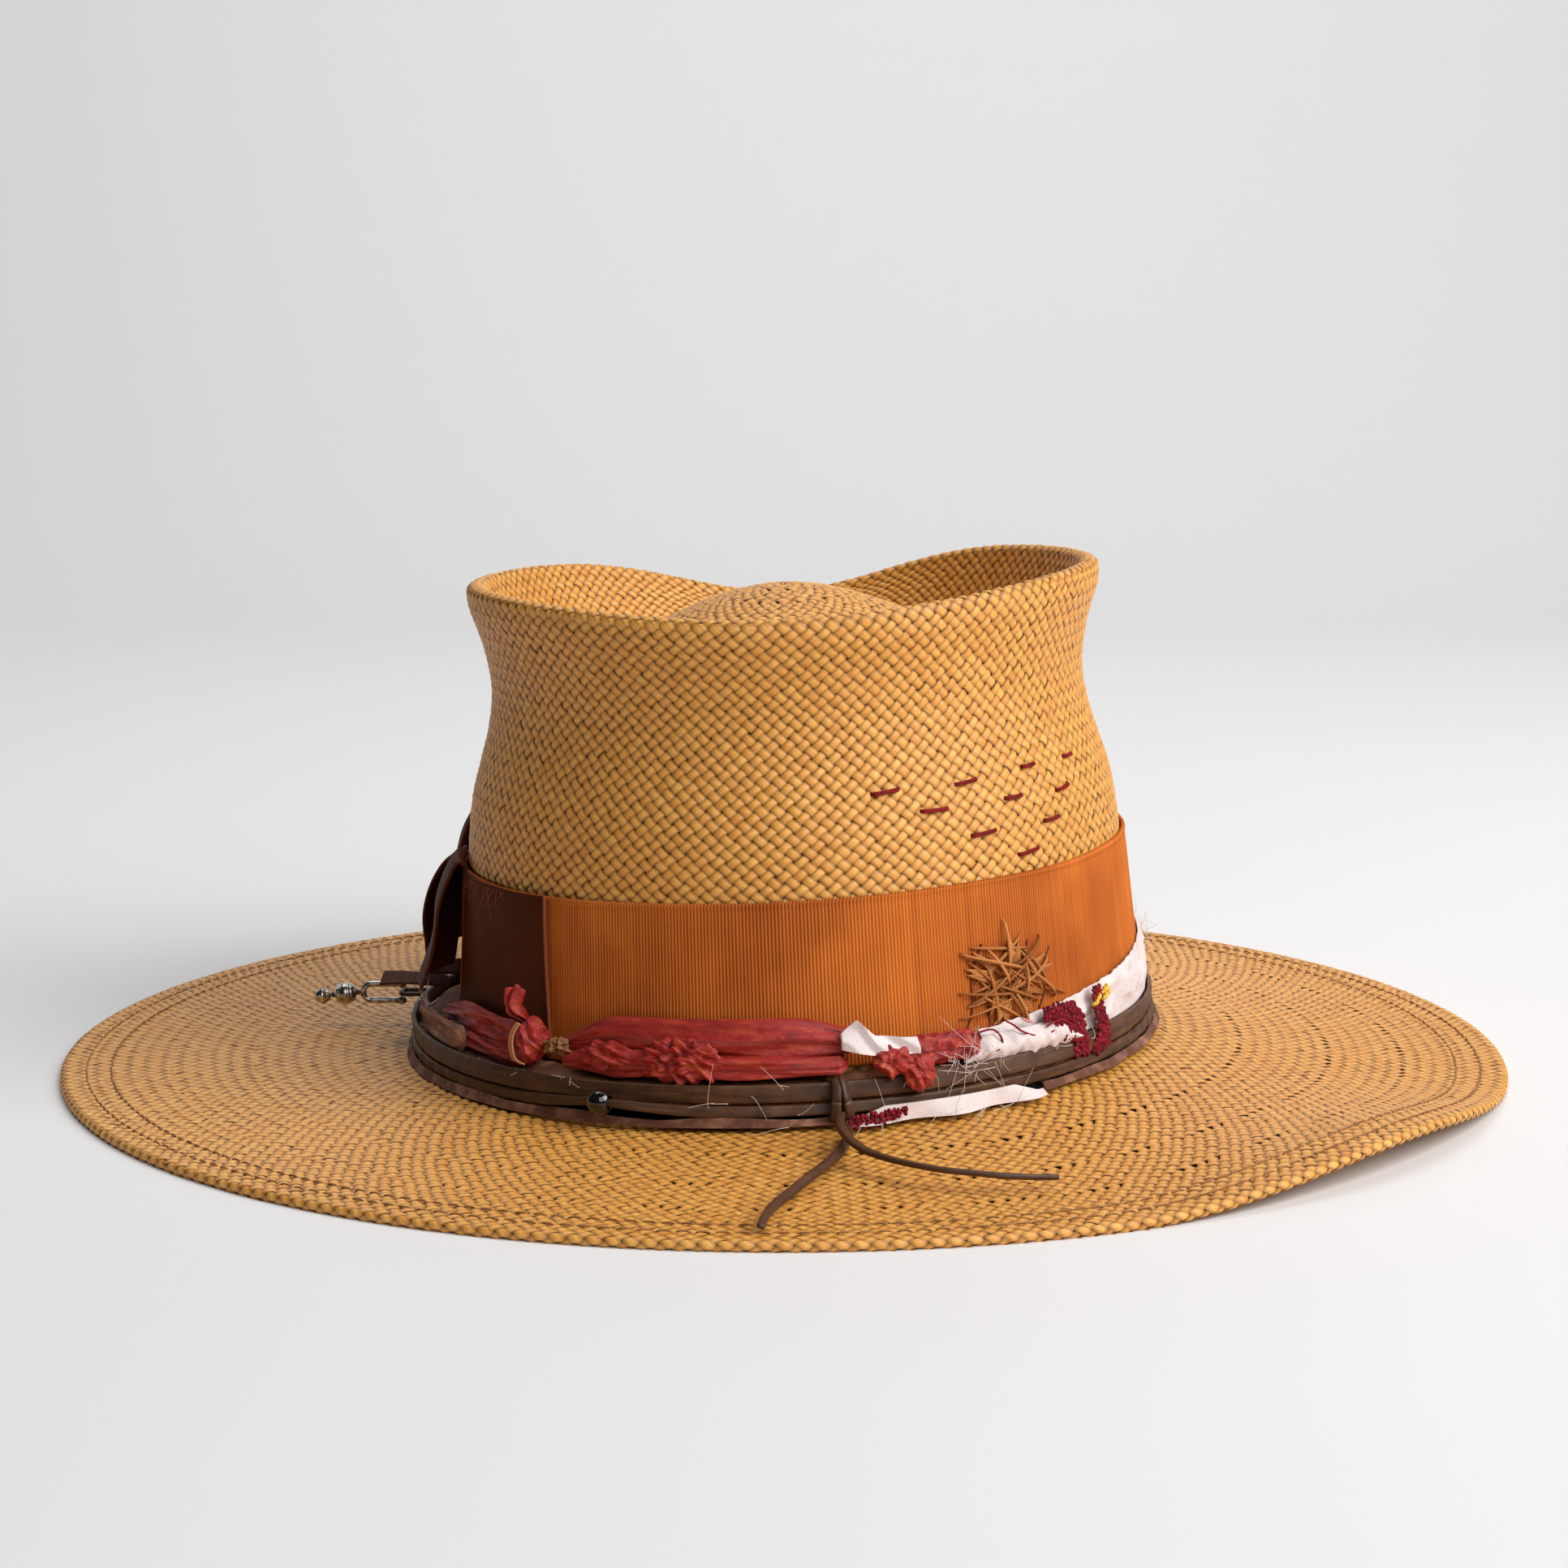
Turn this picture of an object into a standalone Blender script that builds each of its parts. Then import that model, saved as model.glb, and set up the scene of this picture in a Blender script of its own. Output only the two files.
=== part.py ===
"""A woven straw hat: flat brim, pinched telescope crown, ribbon with a bow, wrapped cloth, laces and charms.

Units are metres and +Z is up. The origin is on the ground under the middle of the brim.
-Y is the side with the lace's tie, -X is the side with the bow.

The crown leans a little, so its pieces are laid out in the crown's own frame: an angle round the
oval (0 at +X, counter-clockwise from above), a height over the crown's foot, and an offset outward
from the straw's outer face. seat() carries that frame to the world.
"""

import math

import bmesh
import bpy
from mathutils import Vector

# Crown: the outer oval at its foot, and the heights over the foot.
CROWN_HALF_WIDTH = 0.0870
CROWN_HALF_LENGTH = 0.1045
RIM_HEIGHT = 0.1185
RIM_NEAR_DIP = 0.0053
RIM_FAR_DIP = 0.0130
RIM_NEAR_DIP_SHARPNESS = 6.5
RIM_FAR_DIP_SHARPNESS = 14.0
END_TAPER = 0.0045
LIP_RADIUS = 0.0024
TROUGH_DEPTH = 0.0210
TROUGH_INSET = 0.0160
WALL_FOOT_INSET = 0.0105
WALL_FOOT_RISE = 0.0035
DOME_DROP = 0.0040
FOOT_FILLET = 0.0020
CROWN_LEAN = math.radians(2.5)
CROWN_SHIFT = 0.0047

# How far the wall stands in from the foot's oval, by share of the rim's height.
WALL_INSETS = (
    (0.00, 0.0000),
    (0.22, 0.0025),
    (0.45, 0.0044),
    (0.55, 0.0060),
    (0.62, 0.0084),
    (0.70, 0.0111),
    (0.78, 0.0122),
    (0.86, 0.0109),
    (0.91, 0.0092),
    (0.955, 0.0075),
    (1.00, 0.0072),
)

# Brim.
SIDE_BRIM = 0.0960
END_BRIM = 0.0885
STRAW = 0.0013
HEM_WIDTH = 0.0120
HEM_THICKNESS = 0.0022
HEM_ROUND = 0.0007
LOW_SIDE_RISE = 0.0022
EDGE_LIFT = 0.0063
LIFT_ANGLE = math.radians(-41)
LIFT_REACH = math.radians(27)
BRIM_HALF_WIDTH = CROWN_HALF_WIDTH + SIDE_BRIM
BRIM_HALF_LENGTH = CROWN_HALF_LENGTH + END_BRIM
FOOT_RISE = LOW_SIDE_RISE + CROWN_HALF_WIDTH * math.sin(CROWN_LEAN)
STITCH_ROW_INSETS = (0.0065, 0.0125)
STITCH_ROW_SIZE = 0.0004

# Clearances between pieces.
GAP = 0.0003
CLOTH_GAP = 0.0004

# Sweatband, inside the crown.
SWEATBAND_THICKNESS = 0.0010
SWEATBAND_FOOT = 0.0036
SWEATBAND_WIDTH = 0.0290
REED_RADIUS = 0.0010
BAND_BOW_SIZE = (0.0150, 0.0022, 0.0080)
BAND_BOW_HEIGHT = 0.0140

# Ribbon and bow.
RIBBON_WIDTH = 0.0380
RIBBON_TOP = 0.0503
RIBBON_DROOP = 0.0025
RIBBON_THICKNESS = 0.0007
OVERLAP_ANGLES = (-165.5, -133.0)
FRONT_LOOP_ANGLES = (-184.0, -166.5)
BOW_KNOT_ANGLES = (-191.0, -185.0)
BACK_LOOP_ANGLES = (-214.0, -192.0)
BOW_TAIL_ANGLES = (-182.0, -176.0)
RIBBON_ROWS = 5
FOLD_SHARPNESS = 600

# Cuts through the bow's folded strips, as (height over the foot, offset out of the straw).
FRONT_LOOP_SEAT_HEIGHTS = (0.0200, 0.0470)
FRONT_LOOP_CREST = (0.0495, 0.0032)
FRONT_LOOP_ARCH = ((0.0450, 0.0078), (0.0400, 0.0110), (0.0290, 0.0122), (0.0220, 0.0145), (0.0186, 0.0160))
FRONT_LOOP_PINCH = 0.25
BACK_LOOP_FOOT = 0.0180
BACK_LOOP_RISE = 0.0050
BACK_LOOP_CREST = (0.0090, 0.0032)
BACK_LOOP_ARCH = ((0.0480, 0.0105), (0.0420, 0.0135), (0.0300, 0.0160), (0.0180, 0.0172))
BACK_LOOP_LEAST_SWELL = 0.45
BACK_LOOP_HOLLOW = 0.0020
BOW_KNOT_HEIGHTS = (0.0150, 0.0480)
BOW_KNOT_FACE = ((0.0470, 0.0070), (0.0330, 0.0130), (0.0160, 0.0120))
BOW_SEAT = GAP + RIBBON_THICKNESS + CLOTH_GAP
BOW_TAIL_CUT = ((0.0150, 0.0060), (0.0158, 0.0060), (0.0172, 0.0225), (0.0164, 0.0225))

# Wraps round the crown's foot.
LACE_TIGHT = 0.0024
LACE_SLACK = 0.0100
LACE_THICKNESS = 0.0013
UPPER_LACE_HEIGHTS = (0.0059, 0.0101)
MIDDLE_LACE_HEIGHTS = (0.0028, 0.0054)
ROSE_STRIP_HEIGHTS = (0.0010, 0.0022)
ROSE_STRIP_REACH = 0.0035
TAN_WRAP_HEIGHTS = (0.0028, 0.0096)
CLOTH_FOOT = 0.0106
CLOTH_INSIDE = 0.0015
LEFT_CLOTH_INSIDE = 0.0031
CLOTH_THICKNESS = 0.0014
TAN_WRAP_THICKNESS = 0.0008
TAN_FOLD_ANGLES = (-174.0, -150.0)
TAN_FOLD_TOP = 0.0140
TAN_FOLD_INSIDE = 0.0036
TAN_FOLD_THICKNESS = 0.0026
ROSE_STRIP_ANGLES = (-53.5, 274.5)
LOWER_STRIP_ANGLES = (-84.5, -54.5)
LOWER_STRIP_REACH = 0.0012

# Gathered silk: angles in degrees, the top edge's height, how far it stands out, and one dip in the
# top edge as (angle in degrees, depth, sharpness).
SILK_LEFT = ((-164.5, -135.5), 0.0205, 0.0080, (-135, 0.0030, 60))
SILK_RIGHT = ((-125.8, -82.5), 0.0220, 0.0078, (-126, 0.0040, 80))
SILK_END = ((-69.8, -64.0), 0.0185, 0.0060, (-64, 0.0, 60))
SHOULDER_DROP = 0.0010
SHOULDER_SHARE = 0.70
SKIRT_SHARE = 0.85

# Knots in the silk: angle in degrees, height, offset, and half-lengths along, out and up.
SILK_KNOT_LEFT = (-130.7, 0.0165, 0.0087, (0.0044, 0.0050, 0.0056))
SILK_KNOT_RIGHT = (-76.2, 0.0150, 0.0062, (0.0072, 0.0046, 0.0042))

# The free end over the left knot: where it starts, and rows of (rise, half-width, lean).
TUFT_ANGLE = math.radians(-134)
TUFT_HEIGHT = 0.0232
TUFT_OFFSET = 0.0055
TUFT_ROWS = ((0.0, 0.0016, 0.0), (0.0040, 0.0013, -0.0010), (0.0090, 0.0020, -0.0016))
TUFT_FLATNESS = 0.6

# White cloth. The band's top edge rises to its full height at +X and falls again behind.
WHITE_BAND_ANGLES = (-62.5, 58.0)
WHITE_BAND_TOP = 0.0165
WHITE_BAND_RISE = 0.0080
WHITE_BAND_FALL = 0.0070
WHITE_BAND_FALL_START = 20.0
SCRAP_ANGLES = (-84.5, -76.5)
SCRAP_HEIGHTS = (0.0200, 0.0245)
SCRAP_OFFSETS = (0.0084, 0.0094)

# Chain-stitch scrolls: angles in degrees, then the lower and upper height.
SCROLL_LARGE = ((-55.0, -46.5), 0.0112, 0.0172)
SCROLL_SMALL = ((-45.8, -40.0), 0.0112, 0.0190)
SCROLL_LOWER = ((-83.0, -77.0), 0.0008, 0.0024)
SCROLL_THICKNESS = 0.0012

# The bead on the middle lace.
BEAD_ANGLE = math.radians(-116.7)
BEAD_RADIUS = 0.0031
BEAD_STAND_OFF = 0.0043
BEAD_LIFT = 0.0022
BEAD_SPREAD = math.radians(6)
BEAD_BORE = 0.0016
LACE_PINCH = 0.30

# The tie, and its two tails as routes chosen by hand, from the knot to the free ends.
TIE_KNOT_ANGLE = math.radians(-85)
TIE_KNOT_SIZE = (0.0056, 0.0046, 0.0062)
TIE_KNOT_HEIGHT = 0.0062
TAIL_RADIUS = 0.0011
TAIL_POINTS = 26
RIGHT_TAIL_ROUTE = (
    (0.0126, -0.1198, 0.0109),
    (0.0124, -0.1245, 0.0105),
    (0.0131, -0.1308, 0.0098),
    (0.0151, -0.1375, 0.0090),
    (0.0184, -0.1432, 0.0083),
    (0.0230, -0.1476, 0.0078),
    (0.0283, -0.1515, 0.0075),
    (0.0343, -0.1545, 0.0072),
    (0.0405, -0.1557, 0.0069),
    (0.0466, -0.1562, 0.0064),
    (0.0528, -0.1552, 0.0059),
    (0.0584, -0.1536, 0.0054),
)
LEFT_TAIL_ROUTE = (
    (0.0143, -0.1192, 0.0075),
    (0.0142, -0.1235, 0.0069),
    (0.0135, -0.1290, 0.0066),
    (0.0119, -0.1364, 0.0063),
    (0.0091, -0.1443, 0.0058),
    (0.0062, -0.1512, 0.0054),
    (0.0036, -0.1575, 0.0050),
    (0.0010, -0.1640, 0.0046),
    (-0.0014, -0.1705, 0.0044),
    (-0.0032, -0.1770, 0.0043),
    (-0.0041, -0.1828, 0.0043),
    (-0.0047, -0.1880, 0.0042),
)

# Silver charms at the bow's side. They lie off the upper lace's outer face, towards -X.
CHARM_STAND_OFF = 0.0055
CHARM_SIDEWAYS = 0.0180
CHARM_RISE = 0.0012
HANGER_RADIUS = 0.0007
HANGER_HALF_WIDTH = 0.0030
HANGER_LENGTH = 0.0060
HANGER_CORNER = 0.0012
PIN_RADIUS = 0.0008
PIN_SPREAD = 0.0022
PIN_LENGTH = 0.0080
BALL_RADIUS = 0.0012
CHARM_CORD_RADIUS = 0.0007
CHARM_BEAD_RADIUS = 0.0030
CHARM_BEAD_BORE = 0.0010
CHARM_END_RADIUS = 0.0021
CHARM_DROOP = 0.0008

# Thread stitches on the crown: angle in degrees, height over the foot, length.
THREAD_RADIUS = 0.0007
THREAD_BOW = ((-1.0, 0.0), (-0.4, 0.0004), (0.4, 0.0004), (1.0, 0.0))
THREAD_STITCHES = (
    (-73.9, 0.0725, 0.0076),
    (-65.7, 0.0674, 0.0076),
    (-58.8, 0.0727, 0.0068),
    (-57.1, 0.0608, 0.0076),
    (-49.6, 0.0677, 0.0062),
    (-48.1, 0.0547, 0.0072),
    (-44.2, 0.0740, 0.0048),
    (-41.4, 0.0609, 0.0060),
    (-36.5, 0.0673, 0.0060),
    (-32.1, 0.0740, 0.0046),
)
STAR_ANGLE = math.radians(-55.7)
STAR_HEIGHT = 0.0268
STAR_RADIUS = 0.0098
STAR_WAIST = 0.0050
STAR_THICKNESS = 0.0007
STAR_ARMS = 6

SEGMENTS = 52
STEP = 2 * math.pi / SEGMENTS
BORE_MARGIN = 4

# Materials: base colour, roughness, metallic.
LOOKS = {
    "straw": ((0.60, 0.34, 0.12), 0.45, 0.0),
    "straw_thread": ((0.16, 0.07, 0.03), 0.70, 0.0),
    "sweatband_leather": ((0.30, 0.17, 0.09), 0.55, 0.0),
    "reed_plastic": ((0.75, 0.70, 0.58), 0.40, 0.0),
    "bow_satin": ((0.20, 0.10, 0.05), 0.40, 0.0),
    "grosgrain": ((0.42, 0.13, 0.03), 0.60, 0.0),
    "grosgrain_bow": ((0.24, 0.07, 0.02), 0.60, 0.0),
    "crimson_silk": ((0.42, 0.03, 0.03), 0.45, 0.0),
    "white_cloth": ((0.80, 0.72, 0.72), 0.85, 0.0),
    "tan_cloth": ((0.45, 0.25, 0.18), 0.85, 0.0),
    "lace_leather": ((0.19, 0.10, 0.05), 0.60, 0.0),
    "red_thread": ((0.22, 0.01, 0.02), 0.70, 0.0),
    "rust_thread": ((0.50, 0.20, 0.05), 0.70, 0.0),
    "black_bead": ((0.01, 0.01, 0.01), 0.10, 0.0),
    "silver": ((0.70, 0.69, 0.66), 0.25, 1.0),
}


# ---------------------------------------------------------------- the crown's frame


def smooth_value(table, at):
    """The value of a smooth curve through a table of (place, value) pairs."""
    for i in range(len(table) - 1):
        if at <= table[i + 1][0] or i == len(table) - 2:
            break
    here, there = table[i], table[i + 1]
    before = table[i - 1] if i else here
    after = table[i + 2] if i + 2 < len(table) else there
    span = there[0] - here[0]
    slope_in = (there[1] - before[1]) / (there[0] - before[0]) * span
    slope_out = (after[1] - here[1]) / (after[0] - here[0]) * span
    t = min(1.0, max(0.0, (at - here[0]) / span))
    return (
        here[1] * (2 * t**3 - 3 * t**2 + 1)
        + slope_in * (t**3 - 2 * t**2 + t)
        + there[1] * (3 * t**2 - 2 * t**3)
        + slope_out * (t**3 - t**2)
    )


def lobe(angle, centre, sharpness):
    """A smooth bump that is 1 at centre and 0 at the far side."""
    return ((1 + math.cos(angle - centre)) / 2) ** sharpness


def rim_height(angle):
    near = RIM_NEAR_DIP * lobe(angle, -math.pi / 2, RIM_NEAR_DIP_SHARPNESS)
    far = RIM_FAR_DIP * lobe(angle, math.pi / 2, RIM_FAR_DIP_SHARPNESS)
    return RIM_HEIGHT - near - far


def oval(angle, height, offset):
    """A point of the crown's wall in plan, moved out by offset along the oval's normal."""
    share = min(1.0, max(0.0, height / rim_height(angle)))
    inset = smooth_value(WALL_INSETS, share)
    a = CROWN_HALF_WIDTH - inset
    b = CROWN_HALF_LENGTH - inset - END_TAPER * share
    nx, ny = b * math.cos(angle), a * math.sin(angle)
    length = math.hypot(nx, ny)
    x = a * math.cos(angle) + offset * nx / length
    y = b * math.sin(angle) + offset * ny / length
    return x, y


def seat(x, y, height):
    """From the crown's frame to the world."""
    cos, sin = math.cos(CROWN_LEAN), math.sin(CROWN_LEAN)
    return Vector((CROWN_SHIFT + x * cos - height * sin, y, FOOT_RISE + height * cos + x * sin))


def on_crown(angle, height, offset):
    x, y = oval(angle, height, offset)
    return seat(x, y, height)


def outward(angle):
    """The direction straight out of the crown's wall, level."""
    x, y = CROWN_HALF_LENGTH * math.cos(angle), CROWN_HALF_WIDTH * math.sin(angle)
    return Vector((x, y, 0)).normalized()


# ---------------------------------------------------------------- the brim


def brim_foot(angle):
    return on_crown(angle, 0.0, FOOT_FILLET)


def edge_point(angle, inset):
    """A point of the brim in plan, at a distance in from its edge."""
    x = (BRIM_HALF_WIDTH - inset) * math.cos(angle)
    y = (BRIM_HALF_LENGTH - inset) * math.sin(angle)
    return x, y


def edge_lift(angle):
    """How far the brim's edge stands off the ground: only in one short stretch."""
    away = abs(angle - LIFT_ANGLE)
    away = min(away, 2 * math.pi - away)
    if away >= LIFT_REACH:
        return 0.0
    return EDGE_LIFT * math.cos(math.pi / 2 * away / LIFT_REACH) ** 2


def brim_top(angle, share):
    """The brim's upper face, from the crown's foot (0) to the hem's inner edge (1)."""
    foot = brim_foot(angle)
    x, y = edge_point(angle, HEM_WIDTH)
    ease = 1 - (1 - share) ** 2
    z = foot.z + (HEM_THICKNESS - foot.z) * ease + edge_lift(angle) * share * share
    return Vector((foot.x + (x - foot.x) * share, foot.y + (y - foot.y) * share, z))


def hem_point(angle, inset, height):
    x, y = edge_point(angle, inset)
    return Vector((x, y, height + edge_lift(angle)))


# ---------------------------------------------------------------- building meshes


def collection(name):
    made = bpy.data.collections.new(name)
    bpy.context.scene.collection.children.link(made)
    return made


def material(name):
    colour, roughness, metallic = LOOKS[name]
    made = bpy.data.materials.new(name)
    made.use_nodes = True
    shader = made.node_tree.nodes["Principled BSDF"]
    shader.inputs["Base Color"].default_value = (*colour, 1.0)
    shader.inputs["Roughness"].default_value = roughness
    shader.inputs["Metallic"].default_value = metallic
    return made


def add_object(name, mesh, look, group):
    made = bpy.data.objects.new(name, mesh)
    mesh.materials.clear()
    mesh.materials.append(look)
    group.objects.link(made)
    return made


def loft(name, rings, look, group, round_trip, poles=(None, None)):
    """A skin over rings of points. round_trip joins the last ring to the first; else the ends are
    closed by a fan round a pole or, with no pole, by one face."""
    shape = bmesh.new()
    rows = [[shape.verts.new(p) for p in ring] for ring in rings]
    pairs = list(zip(rows, rows[1:]))
    if round_trip:
        pairs.append((rows[-1], rows[0]))
    for low, high in pairs:
        for i in range(len(low)):
            j = (i + 1) % len(low)
            shape.faces.new((low[i], low[j], high[j], high[i]))
    if not round_trip:
        for pole, row in zip(poles, (rows[0], rows[-1])):
            if pole is None:
                shape.faces.new(row)
                continue
            centre = shape.verts.new(pole)
            for i in range(len(row)):
                shape.faces.new((row[i], row[(i + 1) % len(row)], centre))
    bmesh.ops.recalc_face_normals(shape, faces=shape.faces)
    mesh = bpy.data.meshes.new(name)
    shape.to_mesh(mesh)
    shape.free()
    mesh.shade_smooth()
    mesh.set_sharp_from_angle(angle=math.radians(40))
    return add_object(name, mesh, look, group)


def full_circle():
    return [i * 2 * math.pi / SEGMENTS for i in range(SEGMENTS)]


def ring_band(name, section, look, group):
    """A closed band round the crown. section(angle) gives (height, offset) corners of its cut."""
    rings = [[on_crown(angle, h, o) for h, o in section(angle)] for angle in full_circle()]
    return loft(name, rings, look, group, True)


def arc_band(name, degrees, section, look, group):
    """A band over a stretch of the crown, with a flat face at each end."""
    start, end = (math.radians(d) for d in degrees)
    steps = max(2, math.ceil((end - start) / STEP))
    angles = [start + (end - start) * i / steps for i in range(steps + 1)]
    rings = [[on_crown(angle, h, o) for h, o in section(angle)] for angle in angles]
    return loft(name, rings, look, group, False)


def box_section(low, high, inner, outer):
    return [(low, inner), (high, inner), (high, outer), (low, outer)]


def hugging_section(low, high, inner, outer):
    """A box section with rows between its edges, so that a wide band follows the wall's curve."""
    heights = [low + (high - low) * i / (RIBBON_ROWS - 1) for i in range(RIBBON_ROWS)]
    return [(h, inner) for h in heights] + [(h, outer) for h in heights[::-1]]


def tube(name, points, radius, resolution, look, group, cyclic=False):
    """A round tube along a line of points, as a curve with its ends filled."""
    curve = bpy.data.curves.new(name, "CURVE")
    curve.dimensions = "3D"
    curve.bevel_depth = radius
    curve.bevel_resolution = resolution
    curve.use_fill_caps = not cyclic
    line = curve.splines.new("POLY")
    line.points.add(len(points) - 1)
    for point, place in zip(line.points, points):
        point.co = (*place, 1.0)
    line.use_cyclic_u = cyclic
    made = bpy.data.objects.new(name, curve)
    curve.materials.append(look)
    group.objects.link(made)
    return made


def as_mesh(made):
    """A curve object turned to a mesh object with welded caps, so that a Boolean can use it."""
    bpy.context.view_layer.update()
    depsgraph = bpy.context.evaluated_depsgraph_get()
    mesh = bpy.data.meshes.new_from_object(made.evaluated_get(depsgraph))
    shape = bmesh.new()
    shape.from_mesh(mesh)
    bmesh.ops.remove_doubles(shape, verts=shape.verts, dist=1e-6)
    bmesh.ops.recalc_face_normals(shape, faces=shape.faces)
    shape.to_mesh(mesh)
    shape.free()
    name, place, group = made.name, made.matrix_world.copy(), made.users_collection[0]
    look = made.data.materials[0]
    bpy.data.objects.remove(made)
    solid = add_object(name, mesh, look, group)
    solid.matrix_world = place
    return solid


def ball(name, centre, size, look, group, segments=12, rings=8):
    """A rounded lump: a sphere scaled to size, which gives its half-lengths."""
    mesh = bpy.data.meshes.new(name)
    shape = bmesh.new()
    bmesh.ops.create_uvsphere(shape, u_segments=segments, v_segments=rings, radius=1.0)
    bmesh.ops.scale(shape, vec=size, verts=shape.verts)
    shape.to_mesh(mesh)
    shape.free()
    mesh.shade_smooth()
    made = add_object(name, mesh, look, group)
    made.location = centre
    return made


def face_out(made, angle):
    """Turn a lump so that its local X is the way round the crown and its local Y points out."""
    out = outward(angle)
    made.rotation_euler = (0, 0, math.atan2(out.y, out.x) - math.pi / 2)


def boolean(target, cutter, operation):
    change = target.modifiers.new(operation.lower(), "BOOLEAN")
    change.object = cutter
    change.operation = operation
    change.solver = "EXACT"


def smooth_route(route, count):
    """count points along a smooth curve through the route's own points."""
    points = [Vector(p) for p in route]
    spans = len(points) - 1
    made = []
    for i in range(count):
        at = i * spans / (count - 1)
        k = min(spans - 1, int(at))
        t = at - k
        p1, p2 = points[k], points[k + 1]
        p0 = points[k - 1] if k else p1
        p3 = points[k + 2] if k + 2 <= spans else p2
        made.append(
            0.5 * (2 * p1 + (p2 - p0) * t + (2 * p0 - 5 * p1 + 4 * p2 - p3) * t**2
                   + (3 * p1 - p0 - 3 * p2 + p3) * t**3)
        )
    return made


# ---------------------------------------------------------------- the straw body


def lip_ring(turn, radius):
    """A ring of the rolled rim: turn is 0 at the outside, 90 degrees on top, 180 inside."""
    ring = []
    for angle in full_circle():
        x, y = oval(angle, rim_height(angle), -LIP_RADIUS + radius * math.cos(turn))
        ring.append(seat(x, y, rim_height(angle) - LIP_RADIUS + radius * math.sin(turn)))
    return ring


def tip_ring(inset, height):
    """A ring of the sunk tip, at a distance in from the rim's oval."""
    ring = []
    for angle in full_circle():
        x, y = oval(angle, rim_height(angle), -inset)
        ring.append(seat(x, y, height))
    return ring


def dome_ring(share, drop):
    """A ring of the inner dome: share is 0 at its middle and 1 at the trough."""
    trough, top = RIM_HEIGHT - TROUGH_DEPTH, RIM_HEIGHT - DOME_DROP
    height = trough + (top - trough) * (1 + math.cos(math.pi * share)) / 2 - drop
    ring = []
    for angle in full_circle():
        x, y = oval(angle, rim_height(angle), -TROUGH_INSET)
        ring.append(seat(x * share, y * share, height))
    return ring


def wall_ring(share, offset):
    top = LIP_RADIUS
    ring = []
    for angle in full_circle():
        height = FOOT_FILLET + (rim_height(angle) - top - FOOT_FILLET) * share
        ring.append(on_crown(angle, height, offset))
    return ring


def fillet_ring(turn, radius):
    """A ring of the rounded corner at the crown's foot: turn is 0 at the wall, 90 at the brim."""
    height = FOOT_FILLET - radius * math.sin(turn)
    offset = FOOT_FILLET - radius * math.cos(turn)
    ring = []
    for angle in full_circle():
        x, y = oval(angle, 0.0, offset)
        ring.append(seat(x, y, height))
    return ring


def straw_body(look, group):
    """Crown and brim in one woven piece, as an outer skin and an inner skin that meet at the hem."""
    wall_shares = (0.92, 0.86, 0.78, 0.70, 0.60, 0.47, 0.23, 0.0)
    brim_shares = (0.15, 0.45, 0.75)
    dome_shares = (0.25, 0.5, 0.75)
    trough = RIM_HEIGHT - TROUGH_DEPTH
    outer = [dome_ring(share, 0.0) for share in dome_shares]
    outer.append(tip_ring(TROUGH_INSET, trough))
    outer.append(tip_ring(WALL_FOOT_INSET, trough + WALL_FOOT_RISE))
    outer += [lip_ring(math.radians(turn), LIP_RADIUS) for turn in (180, 135, 90, 45, 0)]
    outer += [wall_ring(share, 0.0) for share in wall_shares]
    outer += [fillet_ring(math.radians(turn), FOOT_FILLET) for turn in (45, 90)]
    outer += [[brim_top(angle, share) for angle in full_circle()] for share in brim_shares]
    outer.append([hem_point(angle, HEM_WIDTH, HEM_THICKNESS) for angle in full_circle()])
    outer.append([hem_point(angle, HEM_ROUND, HEM_THICKNESS) for angle in full_circle()])
    outer.append([hem_point(angle, 0.0, HEM_THICKNESS / 2) for angle in full_circle()])
    outer.append([hem_point(angle, HEM_ROUND, 0.0) for angle in full_circle()])
    outer.append([hem_point(angle, HEM_WIDTH, 0.0) for angle in full_circle()])

    down = Vector((0, 0, -STRAW))
    inner = [[hem_point(angle, HEM_WIDTH, HEM_THICKNESS - STRAW) for angle in full_circle()]]
    inner += [[brim_top(angle, share) + down for angle in full_circle()] for share in brim_shares[::-1]]
    inner += [fillet_ring(math.radians(turn), FOOT_FILLET + STRAW) for turn in (90, 45)]
    inner += [wall_ring(share, -STRAW) for share in wall_shares[::-1]]
    inner += [lip_ring(math.radians(turn), LIP_RADIUS - STRAW) for turn in (0, 90, 180)]
    inner.append(tip_ring(WALL_FOOT_INSET - STRAW, trough + WALL_FOOT_RISE - STRAW / 2))
    inner.append(tip_ring(TROUGH_INSET, trough - STRAW))
    inner += [dome_ring(share, STRAW) for share in dome_shares[::-1]]
    top = RIM_HEIGHT - DOME_DROP
    poles = (seat(0, 0, top), seat(0, 0, top - STRAW))
    return loft("straw_body", outer + inner, look, group, False, poles)


def brim_stitch_row(name, inset, look, group):
    """A row of hem stitching, as one thin ring just over the brim's upper face."""
    low, high = HEM_THICKNESS + GAP, HEM_THICKNESS + GAP + STITCH_ROW_SIZE
    outer, inner = inset - STITCH_ROW_SIZE / 2, inset + STITCH_ROW_SIZE / 2
    rings = []
    for angle in full_circle():
        corners = ((inner, low), (inner, high), (outer, high), (outer, low))
        rings.append([hem_point(angle, i, h) for i, h in corners])
    return loft(name, rings, look, group, True)


# ---------------------------------------------------------------- inside the crown


def sweatband(look, group):
    inner_face = -STRAW - CLOTH_GAP
    top = SWEATBAND_FOOT + SWEATBAND_WIDTH

    def section(angle):
        return box_section(SWEATBAND_FOOT, top, inner_face - SWEATBAND_THICKNESS, inner_face)

    return ring_band("sweatband", section, look, group)


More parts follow.
